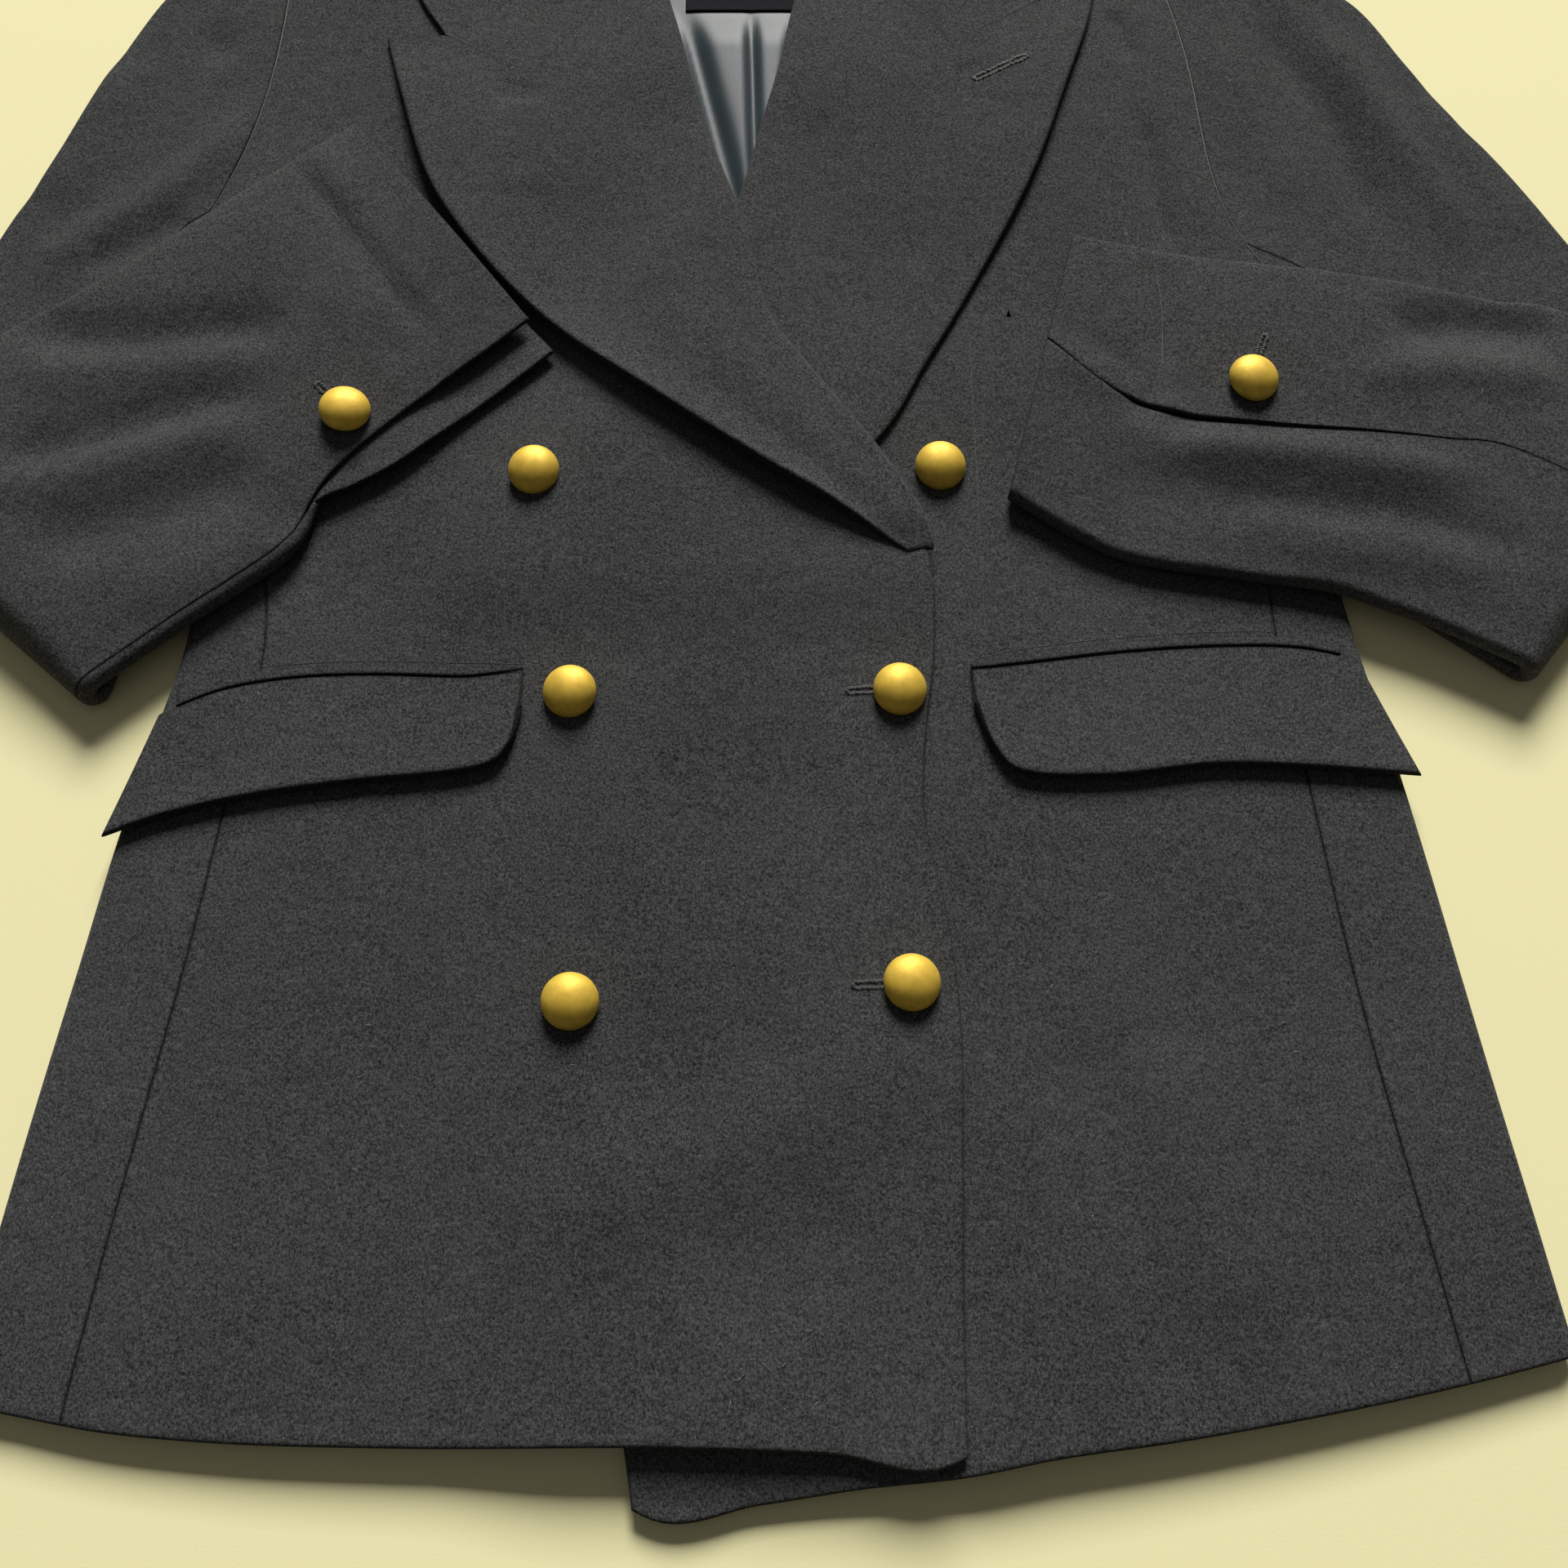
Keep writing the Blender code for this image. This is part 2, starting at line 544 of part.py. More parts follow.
def make_sleeve(side, kind, rows_upper=8, rows_lower=14):
    """A top or under sleeve: part of a flat tube, folded over at the elbow and laid on what is beneath it.

    Across a section, the outward face is the one that shows once the sleeve is folded. The piece runs from
    the hind seam on that face, round the hind edge or the fore edge, to the fore seam on the inward face.
    """
    table = SLEEVES[side]
    hind, fore, turn, along = sleeve_rows(side, rows_upper, rows_lower)
    width = np.linalg.norm(fore - hind, axis=1)[:, None]
    radius = (FRONT_MIDDLE - BACK_MIDDLE) / 2
    margin = radius + CLOTH / 2
    face = stations(6 if kind == "top" else 5)[None, :]
    bend = stations(6, 0, math.pi)[None, 1:-1]
    sign = -1 if kind == "top" else 1
    edge = margin if kind == "top" else width - margin
    seam_start, seam_end = table["hind_seam"]
    seam_out = width * (seam_start + (seam_end - seam_start) * ease(0, 5, along)[:, None])
    seam_out = np.clip(seam_out, margin, width - margin - 1)
    seam_start, seam_end = table["fore_seam"]
    seam_in = width * (seam_start + (seam_end - seam_start) * ease(2.6, 5.4, along)[:, None])
    outward = seam_out + (edge - seam_out) * face
    round_edge = edge + sign * radius * np.sin(bend) + 0 * width
    inward = edge + (seam_in - edge) * face
    out = np.concatenate([outward, round_edge, inward], axis=1)
    low = 0 * outward - 1
    middle = -np.cos(bend) + 0 * width
    high = 0 * inward + 1
    level = np.concatenate([low, middle, high], axis=1)
    vent = ease(table["vent_from"], table["vent_from"] + 0.9, along)[:, None]
    if kind == "under" and table["vent_reach"]:
        reach = table["vent_reach"] * ease(table["vent_from"], 12.0, along)[:, None]
        column = np.arange(out.shape[1])[None, :]
        last_bend = outward.shape[1] + bend.shape[1]
        flat = width - 1.5 + reach - (width - 1.5 + reach - seam_in) * column / (out.shape[1] - 1)
        out = out + vent * (flat - out)
        level = level + vent * (1 - level) * (column < last_bend)
    across = (fore - hind) / width
    place = hind[:, None, :] + across[:, None, :] * out[..., None]
    for column in (0, -1):
        seam = np.gradient(place[:, column], axis=0)
        length = np.linalg.norm(seam, axis=1)[:, None]
        aside = np.stack([-seam[:, 1], seam[:, 0]], axis=-1) / np.maximum(length, 0.001)
        aside *= np.sign((aside * across).sum(axis=1))[:, None]
        place[:, column] += sign * SEAM_GAP * np.where(length > 0.1, aside, across)
    cut = ARMHOLES[side]
    t = np.clip(out[:1] / width[:1], 0, 1)
    bow = cut["bow"] * np.sin(math.pi * t ** cut["skew"])
    place[..., 0] += bow * (1 - ease(0, 2.2, along))[:, None]
    fold_start = np.array(table["upper_hind"][-1], float)
    fold_end = np.array(table["upper_fore"][-1], float)
    fold_line = (fold_end - fold_start) / np.linalg.norm(fold_end - fold_start)
    away = np.array((-fold_line[1], fold_line[0]))
    if away[1] > 0:
        away = -away
    flat_height = BACK_MIDDLE + radius * (1 + level)
    arm = SLEEVE_AXIS - flat_height
    place = place + away * (arm * np.sin(turn)[:, None])[..., None]
    x, y = place[..., 0], place[..., 1]
    folded = SLEEVE_AXIS - arm * np.cos(turn)[:, None]
    rest = 2 * SLEEVE_AXIS - FRONT_MIDDLE - CLOTH / 2
    need = rest_height(side, x, y) + SLEEVE_REST_GAP - rest
    lift = np.maximum(need, 0) * ease(math.pi * 0.9, math.pi, turn)[:, None]
    folded_from = len(table["upper_hind"])
    settle = ease(folded_from, folded_from + 1.5, along)[:, None]
    top_face = np.clip((1 + level * np.cos(turn)[:, None]) / 2, 0, 1)
    forearm = ease(math.pi * 0.8, math.pi, turn)[:, None]
    puff = SLEEVE_PUFF * (1 - np.clip(np.abs(2 * out / width - 1), 0, 1) ** 4)
    low_folds = np.maximum(folds("forearm_" + side, x, y) + puff, DEEPEST_TROUGH)
    high_folds = np.maximum(folds("arm_" + side, x, y), DEEPEST_TROUGH)
    z = folded + lift * settle + top_face * (low_folds * forearm + high_folds * (1 - forearm))
    return sheet(f"sleeve_{kind}_{side}", np.stack([x, y, z], axis=-1), CLOTH, "wool")


def make_flap(side, rows=5, columns=13):
    """A pocket flap: from the slit down to its free edge, which stands a little off the front."""
    table = POCKETS[side]
    inward = 1 if side == "right" else -1
    row = stations(len(table["x"]))
    along = stations(columns)[None, :]
    down = stations(rows)[:, None]
    top_x, top_y = curve(row, table["x"], along), curve(row, table["slit"], along) - 0.8
    free_x, free_y = curve(row, table["free_x"], along), curve(row, table["free"], along)
    x = top_x + (free_x - top_x) * down
    y = top_y + (free_y - top_y) * down
    fold = side_fold(side, y)
    inside = np.clip(inward * (x - fold), 0, None)
    near = fold + inward * inside
    z = panel_height(side, near, y) + LAYER + FLAP_LIFT * down**1.5
    return sheet("pocket_flap_" + side, np.stack([x, y, z], axis=-1), CLOTH, "wool")


def make_welt(side, columns=13):
    """The narrow welt above a flap, lying on the front."""
    table = POCKETS[side]
    row = stations(len(table["x"]))
    along = stations(columns, 0.0, 0.96)[None, :]
    up = stations(3)[:, None]
    x = curve(row, table["x"], along)
    low = curve(row, table["slit"], along) + 0.8
    high = curve(row, table["welt"], along) + 1.2
    y = low + (high - low) * up
    x = x + 0 * y
    z = panel_height(side, x, y) + (CLOTH + WELT_CLOTH) / 2 + 2 * SEAM_GAP
    return sheet("pocket_welt_" + side, np.stack([x, y, z], axis=-1), WELT_CLOTH, "wool")


def lining_height(x, y):
    """The lining lies on the back, with soft folds running down inside the neck opening."""
    rise = 0 * x
    rows = LINING_FOLDS
    for fold_x, width, height, lean in zip(rows["x"], rows["width"], rows["height"], rows["lean"]):
        centre = fold_x + lean * (y - 600)
        rise = rise + height * np.exp(-(((x - centre) / width) ** 2))
    shown = ease(*LINING_FOLD_ENDS["low"], y) * (1 - ease(*LINING_FOLD_ENDS["high"], y))
    return CLOTH + SEAM_GAP + LINING_CLOTH / 2 + rise * shown


def make_lining(rows=8, columns=18):
    """The lining where it shows inside the neck."""
    box = LINING_BOX
    x = stations(columns, box["right"], box["left"])[None, :]
    y = stations(rows, box["low"], box["high"])[:, None]
    x, y = x + 0 * y, y + 0 * x
    return sheet("back_lining", np.stack([x, y, lining_height(x, y)], axis=-1), LINING_CLOTH, "lining")


def make_label():
    """A bare woven label on the lining below the back neck."""
    x = stations(5, *LABEL["x"])[None, :]
    y = stations(3, *LABEL["y"])[:, None]
    x, y = x + 0 * y, y + 0 * x
    z = lining_height(x, y) + LINING_CLOTH + SEAM_GAP
    return sheet("neck_label", np.stack([x, y, z], axis=-1), LINING_CLOTH, "label")


def make_button(name, x, y, seat):
    """A domed button turned from its profile: dome, rim, hollow-backed shank."""
    profile = [(0.0, SHANK_HEIGHT + BUTTON_RIM + BUTTON_DOME)]
    for degrees in DOME_ANGLES:
        angle = math.radians(degrees)
        dome = BUTTON_DOME * math.cos(angle)
        profile.append((BUTTON_RADIUS * math.sin(angle), SHANK_HEIGHT + BUTTON_RIM + dome))
    profile += [
        (BUTTON_RADIUS, SHANK_HEIGHT + BUTTON_RIM),
        (BUTTON_BACK_RADIUS, SHANK_HEIGHT),
        (SHANK_RADIUS, SHANK_HEIGHT),
        (SHANK_RADIUS, 0.0),
        (0.0, 0.0),
    ]
    mesh = bpy.data.meshes.new(name)
    points = [(out * MM, 0, up * MM) for out, up in profile]
    mesh.from_pydata(points, [(i, i + 1) for i in range(len(points) - 1)], [])
    button = bpy.data.objects.new(name, mesh)
    button.location = ((x - CENTRE_X) * MM, (y - CENTRE_Y) * MM, (seat + SEAM_GAP) * MM)
    button.data.materials.append(bpy.data.materials["brass"])
    bpy.data.collections["blazer"].objects.link(button)
    turned = button.modifiers.new("turned", "SCREW")
    turned.steps = BUTTON_SIDES
    turned.render_steps = BUTTON_SIDES
    turned.use_merge_vertices = True
    turned.merge_threshold = 0.00001
    return button


def make_buttons():
    """Seats each button on the front or on the folded sleeve that carries it."""
    turn = stations(8, 0, 2 * math.pi)
    ring_x, ring_y = SHANK_RADIUS * np.cos(turn), SHANK_RADIUS * np.sin(turn)
    for place, (front, x, y) in FRONT_BUTTONS.items():
        seat = float(panel_height(front, x + ring_x, y + ring_y).mean()) + CLOTH / 2
        make_button("button_" + place, x, y, seat)
    for side, (x, y) in SLEEVE_BUTTONS.items():
        around = x + ring_x, y + ring_y
        rest = 2 * SLEEVE_AXIS - FRONT_MIDDLE - CLOTH / 2
        under = rest_height(side, *around) + SLEEVE_REST_GAP
        top = np.maximum(rest, under) + folds("forearm_" + side, *around)
        seat = float(top.max()) + BUTTON_PUFF[side] + FRONT_MIDDLE - BACK_MIDDLE + CLOTH
        make_button("button_sleeve_" + side, x, y, seat)


def make_finishes():
    """One material for each finish, with its colour, roughness and metallic value."""
    for name, (colour, roughness, metallic) in FINISHES.items():
        material = bpy.data.materials.new(name)
        material.use_nodes = True
        shader = material.node_tree.nodes["Principled BSDF"]
        shader.inputs["Base Color"].default_value = colour
        shader.inputs["Roughness"].default_value = roughness
        shader.inputs["Metallic"].default_value = metallic


def main():
    """Clears the scene and makes every piece in its own collection."""
    for thing in list(bpy.data.objects):
        bpy.data.objects.remove(thing)
    collection = bpy.data.collections.new("blazer")
    bpy.context.scene.collection.children.link(collection)
    make_finishes()
    make_back()
    for side in ("right", "left"):
        make_front(side)
        make_side_panel(side)
        make_lapel(side)
        make_flap(side)
        make_welt(side)
        for kind in ("top", "under"):
            make_sleeve(side, kind)
    make_collar()
    make_lining()
    make_label()
    make_buttons()


main()
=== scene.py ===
"""Looks of a double-breasted wool blazer that lies flat with its sleeves folded across the front.

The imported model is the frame. Each cloth piece repeats its solid's surface in finer steps, with the
creases that its cloth shows, and buttons, buttonholes, sewn lines, stray fibres and a nap are added.
Tables are in millimetres, in a frame with its origin below the camera; meshes are in metres.
"""

import math

import bpy
import numpy as np
from bpy.props import FloatProperty, FloatVectorProperty, PointerProperty
from mathutils.bvhtree import BVHTree
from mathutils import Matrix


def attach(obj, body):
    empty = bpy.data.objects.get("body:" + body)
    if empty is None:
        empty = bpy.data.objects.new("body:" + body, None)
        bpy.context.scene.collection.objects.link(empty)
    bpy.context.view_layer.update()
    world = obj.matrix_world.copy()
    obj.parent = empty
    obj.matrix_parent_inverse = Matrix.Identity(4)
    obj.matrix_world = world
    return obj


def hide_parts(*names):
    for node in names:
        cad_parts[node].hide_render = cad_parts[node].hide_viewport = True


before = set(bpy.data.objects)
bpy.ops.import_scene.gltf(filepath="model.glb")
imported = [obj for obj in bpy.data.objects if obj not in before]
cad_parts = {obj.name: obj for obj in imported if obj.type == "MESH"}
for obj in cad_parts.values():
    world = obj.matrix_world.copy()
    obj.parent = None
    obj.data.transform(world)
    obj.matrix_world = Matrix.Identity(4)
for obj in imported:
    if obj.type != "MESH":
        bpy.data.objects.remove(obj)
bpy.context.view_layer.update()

bl_info = {
    "name": "Folded blazer",
    "version": (1, 0, 0),
    "blender": (4, 5, 0),
    "location": "3D View > Sidebar > Blazer",
    "description": "A double-breasted wool blazer laid flat with its sleeves folded across the front",
    "category": "Add Mesh",
}

MM = 0.001

# Grid steps of some pieces, as shares of the cloth's step, and of the inside, in millimetres
BACK_STEP = 1.3
LAPEL_STEP = 0.8
POCKET_STEP = 0.6
LINING_STEP = 1.6
LABEL_STEP = 2.0

# Cloth and the heights of its layers, as in the solids
CLOTH = 2.2
LINING_CLOTH = 1.0
WELT_CLOTH = 1.2
LAPEL_CLOTH = 3.3
FLAP_CLOTH = 3.0
SEAM_GAP = 0.04
SEAM_ROUND = 0.3
ARM_SEAM_SOFT = 0.7
WELT_GAP = 0.8
EDGE_SWELL = 0.16
EDGE_WIDTH = 2.6
EDGE_PLACES = (0.0, 0.06, 0.25, 0.6, 1.2)
EDGE_COUNT = len(EDGE_PLACES)
SEWN_AWAY = 99.0
ROLL_GAP = 1.2
LAYER = 3.0
BACK_MIDDLE = CLOTH / 2
FRONT_MIDDLE = 6.8
CROWN = 3.6
CROWN_HALF_WIDTH = 268.0
SHOULDER_DROP = 2.9
SHOULDER_DROP_LENGTH = 34.0
CENTRE_X = 3.1
CENTRE_Y = 375.9

# Side folds, outer surface, a row for each height up the body
SIDE_FOLDS = {
    "up": (-14, 20, 65, 115, 160, 213, 260, 300, 340, 400, 450, 487),
    "right": (-294, -291, -286, -280, -274, -267, -259, -252, -252, -262, -277, -288),
    "left": (286, 281, 275, 268, 262, 255, 248, 241, 236, 237, 242, 249),
}
SEAM_INSET = {"up": (-20, 200, 290, 430, 487), "inset": (42.0, 42.0, 36.0, 14.0, 5.0)}
BACK_SEAM_INSET = 20.0
SIDE_BEND = 4.4
SIDE_TOP_GAP = 2.5

# Front edges up to the break, then the roll lines of the lapels up to the neck
FRONT_EDGES = {
    "up_right": (-16, 40, 93, 142, 177, 226, 249, 301, 336, 390, 429, 454, 511, 565, 602, 654, 700, 736),
    "right": (64, 65, 67, 68, 65, 57, 58, 64, 63, 37, 10, -7, -22, -39, -48, -60, -74, -104),
    "up_left": (-32, 50, 150, 250, 335, 420, 480, 515, 541, 577, 617, 658, 700, 738),
    "left": (-53, -66, -80, -92, -95, -61, -36, -22, -15, -7, 2, 9, 20, 44),
}
HEMS = {
    "across_right": (-294, -271, -235, -200, -131, -32, 19, 57, 66),
    "right": (5, 1, -5, -8, -10, -10, -12, -16, -12),
    "across_left": (-60, -49, -10, 25, 63, 90, 135, 196, 256, 286),
    "left": (-26, -32, -28, -23, -19, -14, -8, 2, 14, 21),
    "across_back": (-276, -200, -60, 60, 200, 266),
    "back": (16, 2, -2, -3, 10, 26),
}
BACK_HEM_ENDS = (-268.0, 264.0)
HEM_DROOP = 5.6
HEM_DROOP_LENGTH = 26.0

# Armholes, each a straight line from shoulder point to underarm bowed towards the body
ARMHOLES = {
    "right": {"shoulder": (-250, 700), "underarm": (-288, 489), "bow": 14.0, "skew": 1.16},
    "left": {"shoulder": (186, 698), "underarm": (248, 466), "bow": -22.0, "skew": 2.1},
}
ARM_BLEND = 34.0
NECK_POINTS = {"right": (-104, 736), "left": (44, 740)}
BACK_NECK_DEPTH = 13.0

# Lapels: a row for each section from the break up to the peak, with the roll and the outer edge
LAPELS = {
    "right": {
        "roll_up": (341, 366, 390, 429, 454, 511, 565, 602, 654, 700),
        "edge_x": (52, 18, -8, -55, -88, -126, -154, -171, -187, -197),
        "edge_y": (339, 362, 379, 413, 439, 478, 516, 549, 600, 634),
        "seam_x": (-74, -95, -123, -168, -197),
        "seam_y": (700, 651, 609, 636, 634),
    },
    "left": {
        "roll_up": (341, 380, 420, 480, 515, 541, 577, 617, 658, 704),
        "edge_x": (-84, -20, 36, 66, 91, 110, 124, 137, 150, 157),
        "edge_y": (339, 363, 392, 442, 489, 528, 562, 601, 640, 668),
        "seam_x": (21, 62, 84, 128, 157),
        "seam_y": (704, 657, 630, 660, 668),
    },
}
SEAM_STATIONS = (0.0, 0.26, 0.48, 0.78, 1.0)
LAPEL_EDGE_LIFT = {"right": 6.2, "left": 2.0}
LAPEL_ROLL_RISE = {"right": 1.6, "left": 0.8}
ROLL_RADIUS = LAYER / 2
GORGE_PULL = 0.72
GORGE_SHARE = 0.16

# Collar: sections round the neck from the right gorge seam to the left one
COLLAR = {
    "inner_x": (-76, -88, -84, -62, -32, 0, 26, 40, 36, 23),
    "inner_y": (704, 716, 724, 722, 719, 719, 724, 728, 720, 708),
    "outer_x": (-168, -186, -184, -146, -84, -18, 50, 112, 140, 128),
    "outer_y": (637, 672, 716, 756, 778, 784, 781, 756, 714, 661),
    "rise": (0.0, 1.0, 3.0, 5.4, 6.4, 6.6, 6.2, 4.4, 1.6, 0.0),
}
COLLAR_BACK_GAP = 3.2

# Sleeves: sections from the armhole to the elbow fold, then from the fold to the cuff. Where the under
# sleeve stands out beyond the top one, it does so from vent_from on, by vent_reach.
SLEEVES = {
    "right": {
        "upper_hind": (
            (-250, 700), (-290, 694), (-313, 668), (-338, 604),
            (-357, 547), (-370, 513), (-410, 385),
        ),
        "upper_fore": (
            (-288.4, 488.6), (-291, 474), (-290, 450), (-286, 420),
            (-277, 380), (-270, 345), (-281, 278),
        ),
        "lower_hind": (
            (-410, 385), (-352, 451), (-326, 471), (-299, 493),
            (-272, 517), (-244, 542), (-205, 574),
        ),
        "lower_fore": (
            (-281, 278), (-247, 307), (-228, 322), (-209, 340),
            (-194, 372), (-166, 403), (-111, 453),
        ),
        "hind_seam": ((0, 5, 13), (0.74, 0.97, 0.99)),
        "fore_seam": (0.80, 0.46),
        "vent_from": 10.3,
        "vent_reach": 15.0,
    },
    "left": {
        "upper_hind": ((186, 698), (240, 693), (284, 668), (308, 625), (327, 586), (350, 549), (415, 419)),
        "upper_fore": (
            (248.6, 465.5), (252, 450), (251, 430), (248, 395),
            (247, 360), (252, 330), (303, 288),
        ),
        "lower_hind": ((415, 419), (353, 464), (322, 471), (281, 481), (236, 489), (182, 496), (133, 506)),
        "lower_fore": ((303, 288), (273, 304), (250, 314), (229, 322), (190, 328), (140, 338), (96, 366)),
        "hind_seam": ((0, 7.5, 9, 10, 11, 12, 12.5, 13), (0.47, 0.47, 0.50, 0.53, 0.55, 0.55, 0.52, 0.44)),
        "fore_seam": (0.80, 0.72),
        "vent_from": 99.0,
        "vent_reach": 0.0,
    },
}
SLEEVE_AXIS = 9.2
SLEEVE_REST_GAP = 0.95
REST_REACH = (-13.0, 0.0, 13.0)

# Pockets: the slit, the flap's free edge below it and the top of its welt, from the front end to the side
POCKETS = {
    "right": {
        "x": (-107, -116, -132, -165, -200, -230, -256),
        "slit": (284, 283, 282, 284, 283, 278, 267),
        "free_x": (-107, -111, -124, -169, -212, -246, -270),
        "free": (268, 249, 240, 236, 230, 222, 213),
        "welt": (285, 285.5, 286, 288, 287, 284, 278),
    },
    "left": {
        "x": (77, 86, 102, 140, 178, 212, 238),
        "slit": (286, 287, 289, 294, 297, 297, 292),
        "free_x": (78, 85, 97, 132, 174, 216, 256),
        "free": (270, 250, 239, 238, 243, 242, 239),
        "welt": (288, 290, 293, 298, 301, 301, 297),
    },
}
FLAP_LIFT = 2.2
SLIT_GAP = 0.8
WELT_RISE = 1.2

# Buttons: domes on a shank, and how far each leans, in degrees, and towards what bearing
BUTTON_RADIUS = 11.0
BUTTON_DOME = 7.6
BUTTON_RIM = 1.3
BUTTON_EDGE = 0.35
BUTTON_WALL = 1.2
BUTTON_HOLLOW = 0.3
SHANK_RADIUS = 3.4
SHANK_HEIGHT = 2.4
BUTTON_CLEAR = -0.7
FRONT_BUTTONS = {
    "right_top": ("right", -108, 380),
    "right_middle": ("right", -87, 275),
    "right_bottom": ("right", -81, 146),
    "left_top": ("left", 68, 385),
    "left_middle": ("right", 47, 276),
    "left_bottom": ("right", 48, 153),
}
SLEEVE_BUTTONS = {"right": (-192, 407), "left": (205, 422)}
BUTTON_LEANS = {
    "right_top": (10, -95),
    "right_middle": (11, -120),
    "right_bottom": (10, -60),
    "left_top": (10, -80),
    "left_middle": (9, -60),
    "left_bottom": (9, -35),
    "sleeve_right": (10, 20),
    "sleeve_left": (9, -20),
}

# Buttonholes: the piece each is cut in, its two ends, how far it gapes and its thread
BUTTONHOLES = {
    "middle": ("front_right", (27, 275.5), (46, 277), 0.1, "thread"),
    "bottom": ("front_right", (27.5, 152), (46, 153), 0.15, "thread"),
    "lapel": ("lapel_left", (94, 606.5), (118, 619.5), 0.12, "lapel_thread"),
    "sleeve_right": ("sleeve_right", (-205, 421), (-194, 410), 0.0, "thread"),
    "sleeve_left": ("sleeve_left", (214, 446), (206, 426), 0.1, "thread"),
}
STITCH_REACH = 1.9
STITCH_RADIUS = 0.46

# Stray fibres: the piece they lie on, the middle and half size of their patch, their number and their draw
LINT = {
    "hem": ("front_right", (0, 14), (22, 16), 9, 3),
    "front_right": ("front_right", (-90, 190), (110, 150), 22, 5),
    "front_left": ("front_left", (150, 160), (60, 150), 12, 8),
    "lapel_right": ("lapel_right", (-95, 560), (45, 60), 8, 13),
    "sleeve_right": ("sleeve_right", (-230, 440), (60, 50), 10, 21),
    "sleeve_left": ("sleeve_left", (240, 400), (80, 50), 10, 34),
}
LINT_RADIUS = 0.09

# Sewn and pressed lines: the piece each lies on, its points across and up, and its radius
# Their near-black thread is partly thread and partly painted shade for the groove along each seam
SEWN_LINES = {
    "dart_right": ("front_right", (-122, -119, -115), (403, 345, 290), 0.10),
    "dart_left": ("front_left", (84, 84, 84), (450, 375, 300), 0.12),
    "welt_right": (
        "front_right", (-108, -132, -165, -200, -230, -254), (288, 289.5, 291.5, 290.5, 287, 281), 0.16
    ),
    "welt_left": ("front_left", (79, 102, 140, 178, 212, 236), (291.5, 297, 302, 305, 305, 301), 0.16),
    "cuff_right": ("sleeve_right", (-231, -199, -153), (547, 505, 447), 0.14),
    "cuff_left": ("sleeve_left", (169, 170, 167), (497, 462, 430), 0.16),
}
LINE_PITCH = 1.5
# Armhole lines: a dark thread along each armhole seam, which stands in for the shade in the seam
ARM_LINE_INSET = 0.5
ARM_LINE_END = 5.0
ARM_LINE_RADIUS = 0.42

# Lining and label seen inside the neck
LINING_BOX = {"right": -112.0, "left": 64.0, "low": 455.0, "high": 708.0}
LINING_LIFT = 3.4
LINING_FOLDS = {
    "x": (-37, -15, -1),
    "width": (6.0, 3.2, 3.0),
    "height": (-3.6, -2.6, -1.4),
    "lean": (-0.22, -0.03, 0.10),
}
LABEL = {"x": (-50, 12), "y": (662, 692)}

